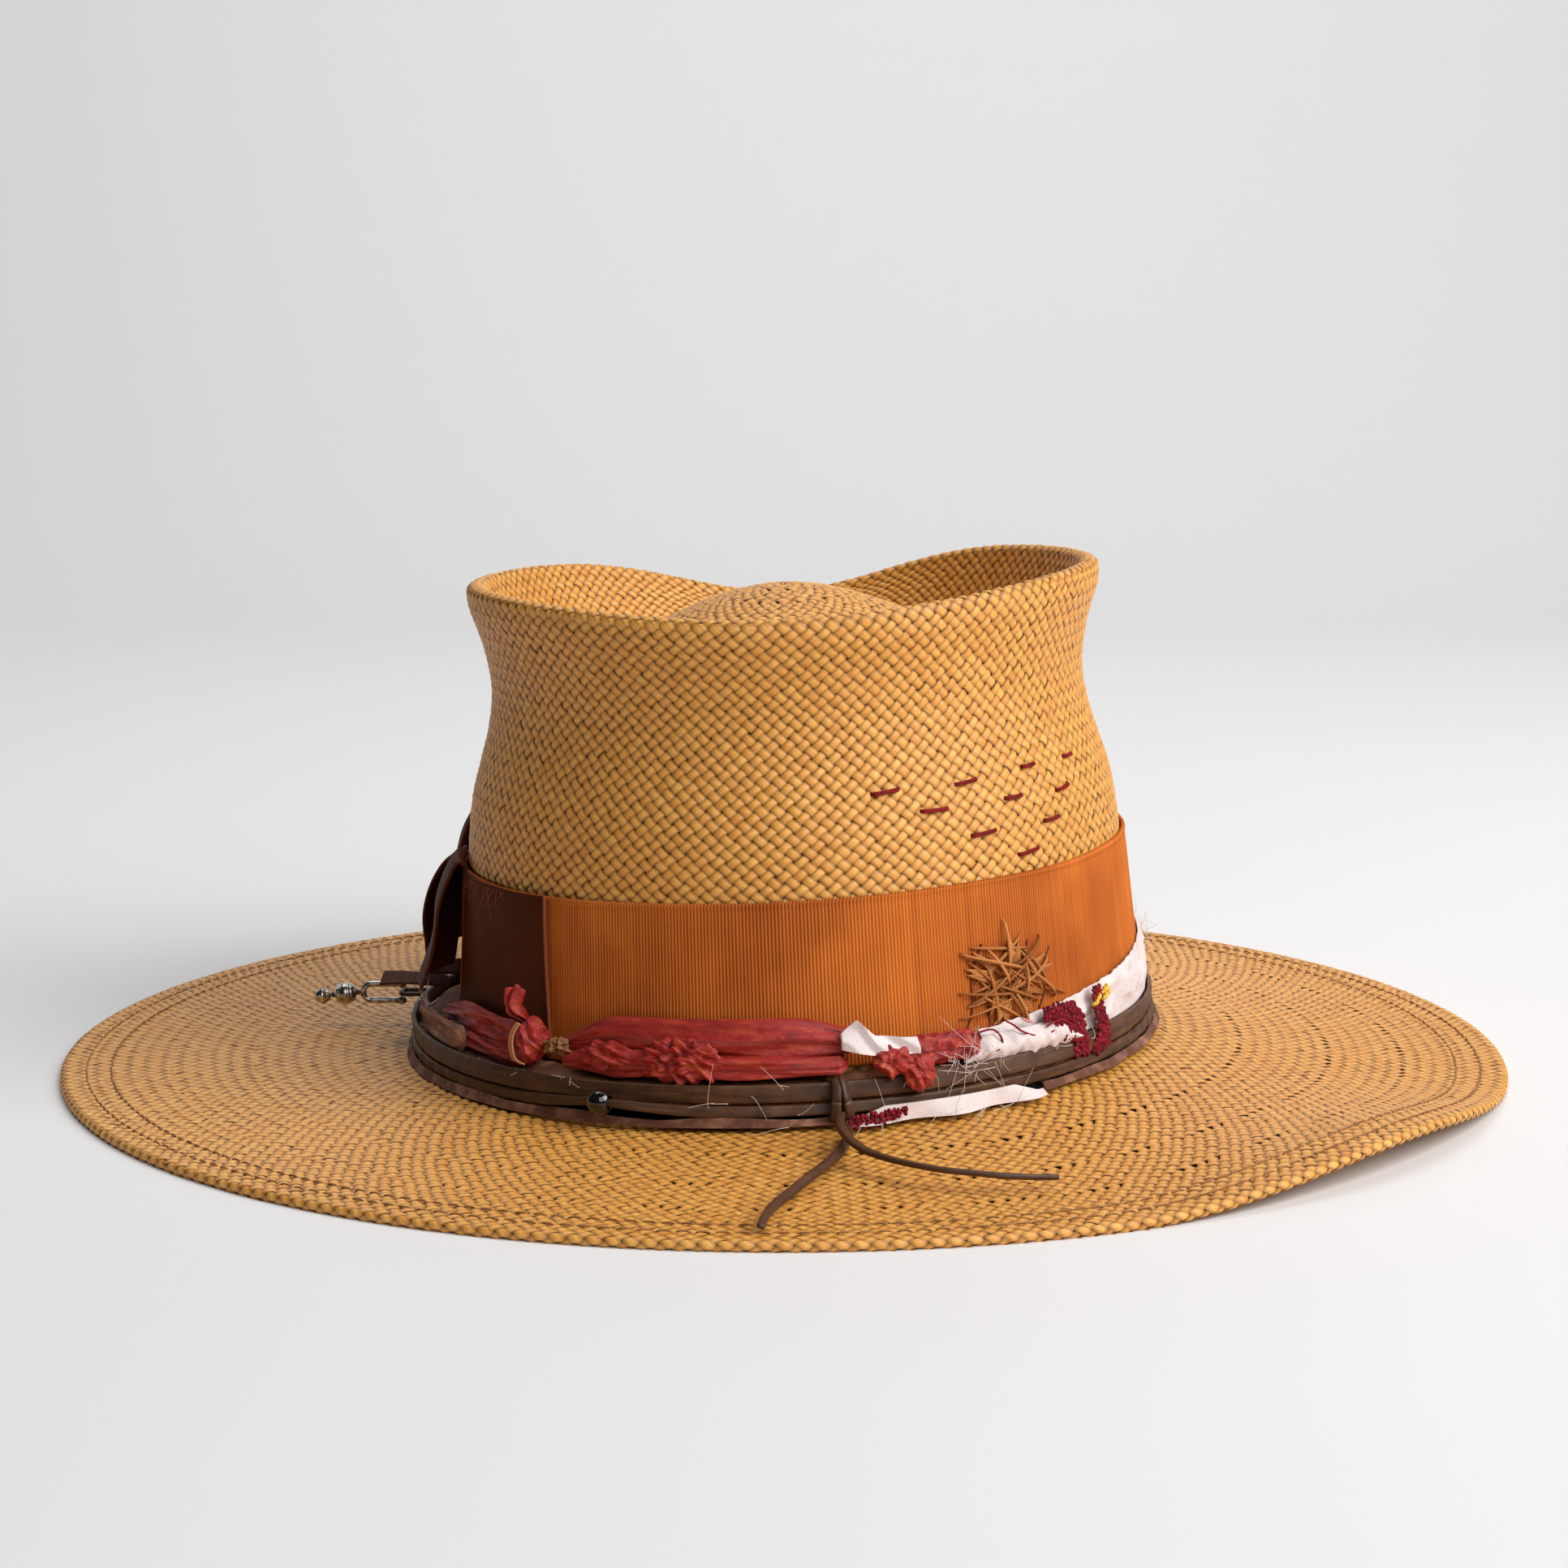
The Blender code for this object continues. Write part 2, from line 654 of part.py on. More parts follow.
def sweatband_reed(look, group):
    height = SWEATBAND_FOOT - GAP - REED_RADIUS
    offset = -STRAW - CLOTH_GAP - REED_RADIUS
    points = [on_crown(angle, height, offset) for angle in full_circle()]
    return tube("sweatband_reed", points, REED_RADIUS, 1, look, group, cyclic=True)


def sweatband_bow(look, group):
    """A small flat bow at the back of the sweatband: two lobes with a waist."""
    width, thickness, height = BAND_BOW_SIZE
    angle = math.pi / 2
    offset = -STRAW - CLOTH_GAP - SWEATBAND_THICKNESS - CLOTH_GAP - thickness
    centre = on_crown(angle, BAND_BOW_HEIGHT, offset)
    outline = ((-1.0, 1.0), (-0.15, 0.3), (0.15, 0.3), (1.0, 1.0))
    lower = [(x, -z) for x, z in outline[::-1]]
    rings = []
    for y in (-thickness / 2, thickness / 2):
        rings.append([centre + Vector((x * width / 2, y, z * height / 2)) for x, z in (*outline, *lower)])
    return loft("sweatband_bow", rings, look, group, False)


# ---------------------------------------------------------------- ribbon and bow


def ribbon_top(angle):
    return RIBBON_TOP - RIBBON_DROOP * lobe(angle, math.pi, 2)


def ribbon_band(look, group):
    def section(angle):
        top = ribbon_top(angle)
        return hugging_section(top - RIBBON_WIDTH, top, GAP, GAP + RIBBON_THICKNESS)

    return ring_band("ribbon_band", section, look, group)


def ribbon_overlap(look, group):
    inside = GAP + RIBBON_THICKNESS + GAP

    def section(angle):
        top = ribbon_top(angle)
        foot = max(top - RIBBON_WIDTH, CLOTH_FOOT)
        fold = lobe(angle, math.radians(OVERLAP_ANGLES[1]), FOLD_SHARPNESS)
        return hugging_section(foot, top, inside, inside + RIBBON_THICKNESS * (1 + fold))

    return arc_band("ribbon_overlap", OVERLAP_ANGLES, section, look, group)


def loop_section(outline):
    """A strip of ribbon folded along an outline of (height, offset) points, in the crown's frame."""
    inner = []
    for i, (height, offset) in enumerate(outline):
        before = outline[max(0, i - 1)]
        after = outline[min(len(outline) - 1, i + 1)]
        dh, do = after[0] - before[0], after[1] - before[1]
        length = math.hypot(dh, do)
        inner.append((height - RIBBON_THICKNESS * do / length, offset + RIBBON_THICKNESS * dh / length))
    return list(outline) + inner[::-1]


def bow_front_loop(look, group):
    """A loop that leans out from the crown and is open towards -Y."""
    low, high = FRONT_LOOP_SEAT_HEIGHTS

    def section(angle):
        swell = 1 - FRONT_LOOP_PINCH * lobe(angle, math.radians(FRONT_LOOP_ANGLES[1]), 40)
        outline = [(low, BOW_SEAT), (high, BOW_SEAT), FRONT_LOOP_CREST]
        outline += [(h, o * swell) for h, o in FRONT_LOOP_ARCH]
        return loop_section(outline)

    return arc_band("bow_front_loop", FRONT_LOOP_ANGLES, section, look, group)


def bow_back_loop(look, group):
    """The taller loop behind the knot. It falls back to the crown towards +Y."""

    def section(angle):
        turn = lobe(angle, math.radians(BACK_LOOP_ANGLES[1]), 20)
        swell = BACK_LOOP_LEAST_SWELL + (1 - BACK_LOOP_LEAST_SWELL) * turn
        edge = ribbon_top(angle)
        outline = [(BACK_LOOP_FOOT, BOW_SEAT), (edge, BOW_SEAT), (edge + BACK_LOOP_RISE, BOW_SEAT)]
        outline.append((edge + BACK_LOOP_CREST[0], BACK_LOOP_CREST[1]))
        outline += [(h, max(BOW_SEAT + BACK_LOOP_HOLLOW, o * swell)) for h, o in BACK_LOOP_ARCH]
        return loop_section(outline)

    return arc_band("bow_back_loop", BACK_LOOP_ANGLES, section, look, group)


def bow_centre_knot(look, group):
    def section(angle):
        return [(height, BOW_SEAT) for height in BOW_KNOT_HEIGHTS] + list(BOW_KNOT_FACE)

    return arc_band("bow_centre_knot", BOW_KNOT_ANGLES, section, look, group)


def bow_tail(look, group):
    return arc_band("bow_tail", BOW_TAIL_ANGLES, lambda angle: BOW_TAIL_CUT, look, group)


# ---------------------------------------------------------------- cloth, laces and beads


def lace_offset(angle):
    """The inner face of the laces: tight at +X, slack at -X."""
    return LACE_TIGHT + LACE_SLACK * (1 - math.cos(angle)) / 2


def bead_share(angle):
    return math.exp(-0.5 * ((angle - BEAD_ANGLE) / BEAD_SPREAD) ** 2)


def wrapped(angle):
    """The same angle between minus pi and pi."""
    return math.atan2(math.sin(angle), math.cos(angle))


def upper_lace(look, group):
    def section(angle):
        inner = lace_offset(angle)
        return box_section(*UPPER_LACE_HEIGHTS, inner, inner + LACE_THICKNESS)

    return ring_band("lace_upper", section, look, group)


def middle_lace_middle(angle):
    """Height and offset of the middle lace's centre line. It stands out where it carries the bead."""
    share = bead_share(wrapped(angle))
    low, high = MIDDLE_LACE_HEIGHTS
    height = (low + high) / 2 + BEAD_LIFT * share
    return height, lace_offset(angle) + LACE_THICKNESS / 2 + BEAD_STAND_OFF * share


def middle_lace(look, group):
    half = (MIDDLE_LACE_HEIGHTS[1] - MIDDLE_LACE_HEIGHTS[0]) / 2
    thin = LACE_THICKNESS / 2

    def section(angle):
        height, offset = middle_lace_middle(angle)
        narrow = 1 - LACE_PINCH * bead_share(wrapped(angle))
        return box_section(
            height - half * narrow, height + half * narrow, offset - thin * narrow, offset + thin * narrow
        )

    between = [angle + STEP / 2 for angle in full_circle()]
    close = [angle for angle in between if abs(wrapped(angle) - BEAD_ANGLE) < 3 * BEAD_SPREAD]
    angles = sorted(full_circle() + close)
    rings = [[on_crown(angle, h, o) for h, o in section(angle)] for angle in angles]
    return loft("lace_middle", rings, look, group, True)


def tan_cloth_wrap(look, group):
    def section(angle):
        inner = GAP + CLOTH_GAP
        outer = max(inner + TAN_WRAP_THICKNESS, lace_offset(angle) - CLOTH_GAP)
        return box_section(*TAN_WRAP_HEIGHTS, inner, outer)

    return ring_band("tan_cloth_wrap", section, look, group)


def flat_strip(name, degrees, reach_out, look, group):
    """A strip of cloth that lies on the brim under the laces."""

    def section(angle):
        outer = lace_offset(angle) + LACE_THICKNESS + reach_out
        inner = max(FOOT_FILLET + CLOTH_GAP, lace_offset(angle) - ROSE_STRIP_REACH)
        return box_section(*ROSE_STRIP_HEIGHTS, inner, outer)

    return arc_band(name, degrees, section, look, group)


def crumpled(low, high, inner, outer):
    """A soft, many-sided cut through gathered cloth."""
    middle = (low + high) / 2
    return [
        (low, inner),
        (middle, inner),
        (high, inner),
        (high - SHOULDER_DROP, outer * SHOULDER_SHARE),
        (middle, outer),
        (low, outer * SKIRT_SHARE),
    ]


def silk_stretch(name, shape, inner, look, group):
    """A stretch of gathered silk over the ribbon's foot."""
    degrees, top, outer, (dip_angle, depth, sharpness) = shape

    def section(angle):
        high = top - depth * lobe(angle, math.radians(dip_angle), sharpness)
        return crumpled(CLOTH_FOOT, high, inner, outer)

    return arc_band(name, degrees, section, look, group)


def cloth_knot(name, shape, look, group):
    degrees, height, offset, size = shape
    angle = math.radians(degrees)
    made = ball(name, on_crown(angle, height, offset), size, look, group)
    face_out(made, angle)
    return made


def silk_tuft(look, group):
    """The short free end that stands up from the left knot."""
    foot = on_crown(TUFT_ANGLE, TUFT_HEIGHT, TUFT_OFFSET)
    turns = [k * math.pi / 3 for k in range(6)]
    rings = []
    for rise, half, lean in TUFT_ROWS:
        middle = foot + Vector((lean, 0, rise))
        ring = [Vector((half * math.cos(t), half * TUFT_FLATNESS * math.sin(t), 0)) for t in turns]
        rings.append([middle + p for p in ring])
    return loft("silk_tuft", rings, look, group, False)


def white_cloth_band(look, group):
    start, end = WHITE_BAND_ANGLES

    def section(angle):
        degrees = math.degrees(angle)
        rise = min(1.0, (degrees - start) / -start)
        fall = max(0.0, (degrees - WHITE_BAND_FALL_START) / (end - WHITE_BAND_FALL_START))
        top = WHITE_BAND_TOP + WHITE_BAND_RISE * rise - WHITE_BAND_FALL * fall
        return box_section(CLOTH_FOOT, top, CLOTH_INSIDE, CLOTH_INSIDE + CLOTH_THICKNESS)

    return arc_band("white_cloth_band", WHITE_BAND_ANGLES, section, look, group)


def white_cloth_scrap(look, group):
    cut = box_section(*SCRAP_HEIGHTS, *SCRAP_OFFSETS)
    return arc_band("white_cloth_scrap", SCRAP_ANGLES, lambda angle: cut, look, group)


def tan_cloth_fold(look, group):
    def section(angle):
        inner = lace_offset(angle) - TAN_FOLD_INSIDE
        return box_section(CLOTH_FOOT, TAN_FOLD_TOP, inner, inner + TAN_FOLD_THICKNESS)

    return arc_band("tan_cloth_fold", TAN_FOLD_ANGLES, section, look, group)


def scroll(name, shape, inner, look, group):
    """A patch of chain stitching that stands on the cloth."""
    degrees, low, high = shape
    cut = box_section(low, high, inner, inner + SCROLL_THICKNESS)
    return arc_band(name, degrees, lambda angle: cut, look, group)


def lace_bead(look, group, cutters):
    """A round bead with a bore, threaded on the middle lace."""
    height, offset = middle_lace_middle(BEAD_ANGLE)
    centre = on_crown(BEAD_ANGLE, height, offset)
    bead = ball("lace_bead", centre, (BEAD_RADIUS,) * 3, look, group, 16, 10)
    bead.rotation_euler = bead_axis().to_track_quat("Z", "Y").to_euler()
    bore = cylinder("lace_bead_bore", centre, bead_axis(), BEAD_BORE, BORE_MARGIN * BEAD_RADIUS, cutters)
    boolean(bead, bore, "DIFFERENCE")
    return bead


def bead_axis():
    """The way the middle lace runs at the bead."""
    step = math.radians(0.5)
    ends = []
    for side in (-1, 1):
        angle = BEAD_ANGLE + side * step
        height, offset = middle_lace_middle(angle)
        ends.append(on_crown(angle, height, offset))
    return (ends[1] - ends[0]).normalized()


def cylinder(name, centre, axis, radius, length, cutters):
    mesh = bpy.data.meshes.new(name)
    shape = bmesh.new()
    bmesh.ops.create_cone(
        shape, cap_ends=True, segments=16, radius1=radius, radius2=radius, depth=length
    )
    shape.to_mesh(mesh)
    shape.free()
    made = bpy.data.objects.new(name, mesh)
    made.location = centre
    made.rotation_euler = axis.to_track_quat("Z", "Y").to_euler()
    made.hide_render = True
    made.display_type = "WIRE"
    cutters.objects.link(made)
    return made


def tie_knot(look, group):
    angle = TIE_KNOT_ANGLE
    offset = lace_offset(angle) + LACE_THICKNESS + CLOTH_GAP + TIE_KNOT_SIZE[1] / 2
    size = tuple(s / 2 for s in TIE_KNOT_SIZE)
    return cloth_knot("tie_knot", (math.degrees(angle), TIE_KNOT_HEIGHT, offset, size), look, group)


# ---------------------------------------------------------------- charms


def charm_hinge():
    """The middle of the charms' hinge, off the upper lace's outer face on the -X side."""
    height = sum(UPPER_LACE_HEIGHTS) / 2
    face = on_crown(math.pi, height, lace_offset(math.pi) + LACE_THICKNESS)
    return Vector((face.x - CHARM_STAND_OFF, CHARM_SIDEWAYS, face.z + CHARM_RISE))


def charm_hanger(look, group):
    """A loop of thread from the laces. It crosses between the horseshoe's rods, on the hinge's axis."""
    corner = []
    for turn in (0, 30, 60, 90):
        x = HANGER_CORNER * (1 - math.cos(math.radians(turn)))
        y = HANGER_HALF_WIDTH - HANGER_CORNER * (1 - math.sin(math.radians(turn)))
        corner.append(Vector((x, y, 0)))
    half = [*corner, Vector((HANGER_LENGTH, HANGER_HALF_WIDTH, 0))]
    other = [Vector((p.x, -p.y, 0)) for p in half[::-1]]
    return tube("charm_hanger", [charm_hinge() + p for p in other + half], HANGER_RADIUS, 2, look, group)


def charm_pin(look, group, cutters):
    """A horseshoe of silver wire with a ball on each tip, its tips towards the hinge."""
    turns = [math.radians(90 + 180 * i / 8) for i in range(9)]
    bend = [Vector((PIN_SPREAD * math.cos(t) - PIN_LENGTH, 0, PIN_SPREAD * math.sin(t))) for t in turns]
    line = [Vector((0, 0, PIN_SPREAD)), *bend, Vector((0, 0, -PIN_SPREAD))]
    wire = as_mesh(tube("charm_pin", [charm_hinge() + p for p in line], PIN_RADIUS, 2, look, group))
    for side in (-1, 1):
        centre = charm_hinge() + Vector((0, 0, side * PIN_SPREAD))
        tip = ball(f"charm_pin_tip_{side}", centre, (BALL_RADIUS,) * 3, look, cutters, 12, 8)
        tip.hide_render = True
        tip.display_type = "WIRE"
        boolean(wire, tip, "UNION")
    return wire


def charm_cord(look, group):
    """The short cord that carries the round bead, from inside the horseshoe's bend to the end bead."""
    start = charm_hinge() + Vector((-PIN_LENGTH - PIN_SPREAD - PIN_RADIUS - GAP, 0, 0))
    end = start + Vector((-2 * CHARM_BEAD_RADIUS - 4 * GAP, 0, -CHARM_DROOP))
    points = [start.lerp(end, i / 3) for i in range(4)]
    return tube("charm_cord", points, CHARM_CORD_RADIUS, 2, look, group), start, end


# ---------------------------------------------------------------- thread work


def crown_stitch(name, stitch, look, group):
    """One running stitch: a short thread that lies on the straw and dips at both ends."""
    degrees, height, length = stitch
    angle = math.radians(degrees)
    reach = length / 2 / CROWN_HALF_WIDTH
    rise = THREAD_RADIUS + GAP
    points = []
    for share, lift in THREAD_BOW:
        points.append(on_crown(angle + share * reach, height, rise + lift))
    return tube(name, points, THREAD_RADIUS, 1, look, group)


def star_embroidery(look, group):
    """A star of crossed stitches on the ribbon, as one thin patch."""
    inner = GAP + RIBBON_THICKNESS + CLOTH_GAP
    turns = [k * math.pi / STAR_ARMS for k in range(2 * STAR_ARMS)]
    rings = []
    for offset in (inner, inner + STAR_THICKNESS):
        ring = []
        for k, turn in enumerate(turns):
            radius = STAR_RADIUS if k % 2 == 0 else STAR_WAIST
            angle = STAR_ANGLE + radius * math.cos(turn) / CROWN_HALF_WIDTH
            ring.append(on_crown(angle, STAR_HEIGHT + radius * math.sin(turn), offset))
        rings.append(ring)
    poles = [on_crown(STAR_ANGLE, STAR_HEIGHT, offset) for offset in (inner, inner + STAR_THICKNESS)]
    return loft("star_embroidery", rings, look, group, False, poles)


# ---------------------------------------------------------------- the whole hat


def build_charms(looks, group, cutters):
    charm_hanger(looks["lace_leather"], group)
    charm_pin(looks["silver"], group, cutters)
    cord, start, end = charm_cord(looks["lace_leather"], group)
    middle = start.lerp(end, 0.5)
    bead = ball("charm_bead", middle, (CHARM_BEAD_RADIUS,) * 3, looks["silver"], group, 14, 8)
    along = (end - start).normalized()
    bead.rotation_euler = along.to_track_quat("Z", "Y").to_euler()
    length = BORE_MARGIN * CHARM_BEAD_RADIUS
    bore = cylinder("charm_bead_bore", middle, along, CHARM_BEAD_BORE, length, cutters)
    boolean(bead, bore, "DIFFERENCE")
    tip = end + along * (CHARM_END_RADIUS + GAP)
    ball("charm_end_bead", tip, (CHARM_END_RADIUS,) * 3, looks["silver"], group, 10, 6)


def build_cloths(looks, group):
    silk, white, tan = looks["crimson_silk"], looks["white_cloth"], looks["tan_cloth"]
    tan_cloth_wrap(tan, group)
    tan_cloth_fold(tan, group)
    flat_strip("rose_strip", ROSE_STRIP_ANGLES, 0.0, tan, group)
    flat_strip("white_cloth_lower", LOWER_STRIP_ANGLES, LOWER_STRIP_REACH, white, group)
    silk_stretch("silk_wrap_left", SILK_LEFT, LEFT_CLOTH_INSIDE, silk, group)
    silk_stretch("silk_wrap_right", SILK_RIGHT, CLOTH_INSIDE, silk, group)
    silk_stretch("silk_end", SILK_END, CLOTH_INSIDE, silk, group)
    cloth_knot("silk_knot_left", SILK_KNOT_LEFT, silk, group)
    cloth_knot("silk_knot_right", SILK_KNOT_RIGHT, silk, group)
    silk_tuft(silk, group)
    white_cloth_band(white, group)
    white_cloth_scrap(white, group)


def build_stitches(looks, group):
    red = looks["red_thread"]
    on_band = CLOTH_INSIDE + CLOTH_THICKNESS + GAP
    scroll("scroll_embroidery_large", SCROLL_LARGE, on_band, red, group)
    scroll("scroll_embroidery_small", SCROLL_SMALL, on_band, red, group)
    strip_edge = lace_offset(math.radians(SCROLL_LOWER[0][1])) + LACE_THICKNESS + LOWER_STRIP_REACH
    scroll("scroll_embroidery_lower", SCROLL_LOWER, strip_edge + 3 * GAP, red, group)
    for number, stitch in enumerate(THREAD_STITCHES, 1):
        crown_stitch(f"red_stitch_{number:02d}", stitch, red, group)
    star_embroidery(looks["rust_thread"], group)


def build():
    for old in list(bpy.data.objects):
        bpy.data.objects.remove(old)
    group = collection("straw_hat")
    cutters = collection("straw_hat_cutters")
    looks = {name: material(name) for name in LOOKS}

    straw_body(looks["straw"], group)
    for name, inset in zip(("brim_stitching_outer", "brim_stitching_inner"), STITCH_ROW_INSETS):
        brim_stitch_row(name, inset, looks["straw_thread"], group)
    sweatband(looks["sweatband_leather"], group)
    sweatband_reed(looks["reed_plastic"], group)
    sweatband_bow(looks["bow_satin"], group)

    ribbon_band(looks["grosgrain"], group)
    for make in (ribbon_overlap, bow_front_loop, bow_back_loop, bow_centre_knot, bow_tail):
        make(looks["grosgrain_bow"], group)

    lace = looks["lace_leather"]
    upper_lace(lace, group)
    middle_lace(lace, group)
    tie_knot(lace, group)
    tube("tie_tail_right", smooth_route(RIGHT_TAIL_ROUTE, TAIL_POINTS), TAIL_RADIUS, 2, lace, group)
    tube("tie_tail_left", smooth_route(LEFT_TAIL_ROUTE, TAIL_POINTS), TAIL_RADIUS, 2, lace, group)
    lace_bead(looks["black_bead"], group, cutters)

    build_cloths(looks, group)
    build_stitches(looks, group)
    build_charms(looks, group, cutters)


build()
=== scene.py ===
"""The looks of the straw hat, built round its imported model.

Lengths are in metres and +Z is up. The crown's frame is the part's own: an angle round the oval
(0 at +X, counter-clockwise from above), a height over the crown's foot and an offset out of the straw.
The straw is made strand by strand: every place where one strand passes over another is a small domed
tile, laid in rings, as in a plain weave whose strands run slantwise.
"""

import math

import bmesh
import bpy
import numpy as np
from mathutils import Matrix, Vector


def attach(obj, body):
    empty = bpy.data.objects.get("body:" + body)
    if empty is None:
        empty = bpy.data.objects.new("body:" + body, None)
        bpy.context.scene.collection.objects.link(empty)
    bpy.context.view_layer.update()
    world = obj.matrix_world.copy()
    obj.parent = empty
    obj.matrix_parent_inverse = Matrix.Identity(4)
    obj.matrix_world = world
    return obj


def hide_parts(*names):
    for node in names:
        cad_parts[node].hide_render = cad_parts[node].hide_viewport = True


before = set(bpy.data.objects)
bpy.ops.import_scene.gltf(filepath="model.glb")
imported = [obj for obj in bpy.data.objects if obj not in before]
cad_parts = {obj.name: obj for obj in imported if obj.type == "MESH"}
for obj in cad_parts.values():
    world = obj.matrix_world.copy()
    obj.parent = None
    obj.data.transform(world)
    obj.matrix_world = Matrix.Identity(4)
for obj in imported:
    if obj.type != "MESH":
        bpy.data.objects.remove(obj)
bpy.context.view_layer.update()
random = np.random.default_rng(11)

TAU = 2 * math.pi

# The part's own sizes, repeated.
CROWN_HALF_WIDTH = 0.0870
CROWN_HALF_LENGTH = 0.1045
RIM_HEIGHT = 0.1185
RIM_NEAR_DIP = 0.0053
RIM_FAR_DIP = 0.0130
RIM_NEAR_DIP_SHARPNESS = 6.5
RIM_FAR_DIP_SHARPNESS = 14.0
END_TAPER = 0.0045
LIP_RADIUS = 0.0024
TROUGH_DEPTH = 0.0210
TROUGH_INSET = 0.0160
WALL_FOOT_INSET = 0.0105
WALL_FOOT_RISE = 0.0035
DOME_DROP = 0.0040
FOOT_FILLET = 0.0020
CROWN_LEAN = math.radians(2.5)
CROWN_SHIFT = 0.0047
WALL_INSETS = (
    (0.00, 0.0000),
    (0.22, 0.0025),
    (0.45, 0.0044),
    (0.55, 0.0060),
    (0.62, 0.0084),
    (0.70, 0.0111),
    (0.78, 0.0122),
    (0.86, 0.0109),
    (0.91, 0.0092),
    (0.955, 0.0075),
    (1.00, 0.0072),
)
BRIM_HALF_WIDTH = 0.1830
BRIM_HALF_LENGTH = 0.1930
STRAW = 0.0013
HEM_WIDTH = 0.0120
HEM_THICKNESS = 0.0022
FOOT_RISE = 0.0022 + CROWN_HALF_WIDTH * math.sin(CROWN_LEAN)
EDGE_LIFT = 0.0063
LIFT_ANGLE = math.radians(-41)
LIFT_REACH = math.radians(27)
RIBBON_WIDTH = 0.0380
RIBBON_TOP = 0.0503
RIBBON_DROOP = 0.0025
LACE_TIGHT = 0.0024
LACE_SLACK = 0.0100
LACE_THICKNESS = 0.0013
GAP = 0.0003
RIBBON_THICKNESS = 0.0007
BOW_SEAT = GAP + RIBBON_THICKNESS + 0.0004
RIB_PITCH = 0.00085
REED_STEPS = 400
REED_SIDES = 12
BEAD_ANGLE = math.radians(-116.7)
TIE_ANGLE = math.radians(-85)
STAR_ANGLE = math.radians(-55.7)
STAR_HEIGHT = 0.0262
STAR_WIDEN = 1.6
CHARM_HINGE = (-0.100964, 0.0180, 0.010829)
THREAD_STITCHES = (
    (-73.9, 0.0725, 0.0076),
    (-65.7, 0.0674, 0.0076),
    (-58.8, 0.0727, 0.0068),
    (-57.1, 0.0608, 0.0076),
    (-49.6, 0.0677, 0.0062),
    (-48.1, 0.0547, 0.0072),
    (-44.2, 0.0740, 0.0048),
    (-41.4, 0.0609, 0.0060),
    (-36.5, 0.0673, 0.0060),
    (-32.1, 0.0740, 0.0046),
)
RIGHT_TAIL_ROUTE = (
    (0.0126, -0.1198, 0.0109),
    (0.0124, -0.1245, 0.0105),
    (0.0131, -0.1308, 0.0098),
    (0.0151, -0.1375, 0.0090),
    (0.0184, -0.1432, 0.0083),
    (0.0230, -0.1476, 0.0078),
    (0.0283, -0.1515, 0.0075),
    (0.0343, -0.1545, 0.0072),
    (0.0405, -0.1557, 0.0069),
    (0.0466, -0.1562, 0.0064),
    (0.0528, -0.1552, 0.0059),
    (0.0584, -0.1536, 0.0054),
)
LEFT_TAIL_ROUTE = (
    (0.0143, -0.1192, 0.0075),
    (0.0142, -0.1235, 0.0069),
    (0.0135, -0.1290, 0.0066),
    (0.0119, -0.1364, 0.0063),
    (0.0091, -0.1443, 0.0058),
    (0.0062, -0.1512, 0.0054),
    (0.0036, -0.1575, 0.0050),
    (0.0010, -0.1640, 0.0046),
    (-0.0014, -0.1705, 0.0044),
    (-0.0032, -0.1770, 0.0043),
    (-0.0041, -0.1828, 0.0043),
    (-0.0047, -0.1880, 0.0042),
)


# ---------------------------------------------------------------- camera, floor and lights


def make_camera():
    data = bpy.data.cameras.new("camera")
    data.sensor_width = 36
    data.lens = 75.97
    camera = bpy.data.objects.new("camera", data)
    camera.location = (0, -0.84086, 0.18526)
    camera.rotation_euler = (math.radians(90 - 7.886), 0, 0)
    bpy.context.scene.collection.objects.link(camera)
    bpy.context.scene.camera = camera


def area_light(name, place, target, size, power, colour=(1, 1, 1)):
    data = bpy.data.lights.new(name, "AREA")
    data.size = size
    data.energy = power
    data.color = colour
    light = bpy.data.objects.new(name, data)
    light.location = place
    light.rotation_euler = (Vector(target) - Vector(place)).to_track_quat("-Z", "Y").to_euler()
    bpy.context.scene.collection.objects.link(light)


def make_studio():
    """A pale floor that turns up into a backdrop, and soft lights, the main one from the right."""
    profile = [(-3.0, 0.0), (1.2, 0.0)]
    for step in range(1, 13):
        turn = math.pi / 2 * step / 12
        profile.append((1.2 + 0.8 * math.sin(turn), 0.8 * (1 - math.cos(turn))))
    profile.append((2.0, 3.0))
    shape = bmesh.new()
    rows = [[shape.verts.new((x, y, z)) for y, z in profile] for x in (-4.0, 4.0)]
    for i in range(len(profile) - 1):
        shape.faces.new((rows[0][i], rows[1][i], rows[1][i + 1], rows[0][i + 1]))
    mesh = bpy.data.meshes.new("studio_floor")
    shape.to_mesh(mesh)
    shape.free()
    mesh.shade_smooth()
    floor = bpy.data.objects.new("studio_floor", mesh)
    bpy.context.scene.collection.objects.link(floor)
    look = bpy.data.materials.new("studio_paper")
    look.use_nodes = True
    shader = look.node_tree.nodes["Principled BSDF"]
    shader.inputs["Base Color"].default_value = (0.80, 0.80, 0.81, 1)
    shader.inputs["Roughness"].default_value = 0.75
    shader.inputs["Specular IOR Level"].default_value = 0.2
    mesh.materials.append(look)

    world = bpy.data.worlds.new("studio")
    world.use_nodes = True
    world.node_tree.nodes["Background"].inputs["Color"].default_value = (0.93, 0.96, 1.0, 1)
    world.node_tree.nodes["Background"].inputs["Strength"].default_value = 0.02
    bpy.context.scene.world = world
    bpy.context.scene.view_settings.view_transform = "Standard"
    area_light("key", (1.22, -0.65, 1.05), (0.0, 0.0, 0.06), 1.2, 28.5, (1.0, 0.985, 0.96))
    area_light("front", (0.5, -1.8, 1.3), (0.0, 0.0, 0.05), 1.4, 14.5)
    area_light("wall", (0.0, 0.6, 1.9), (0.0, 2.0, 0.4), 1.6, 23.0)


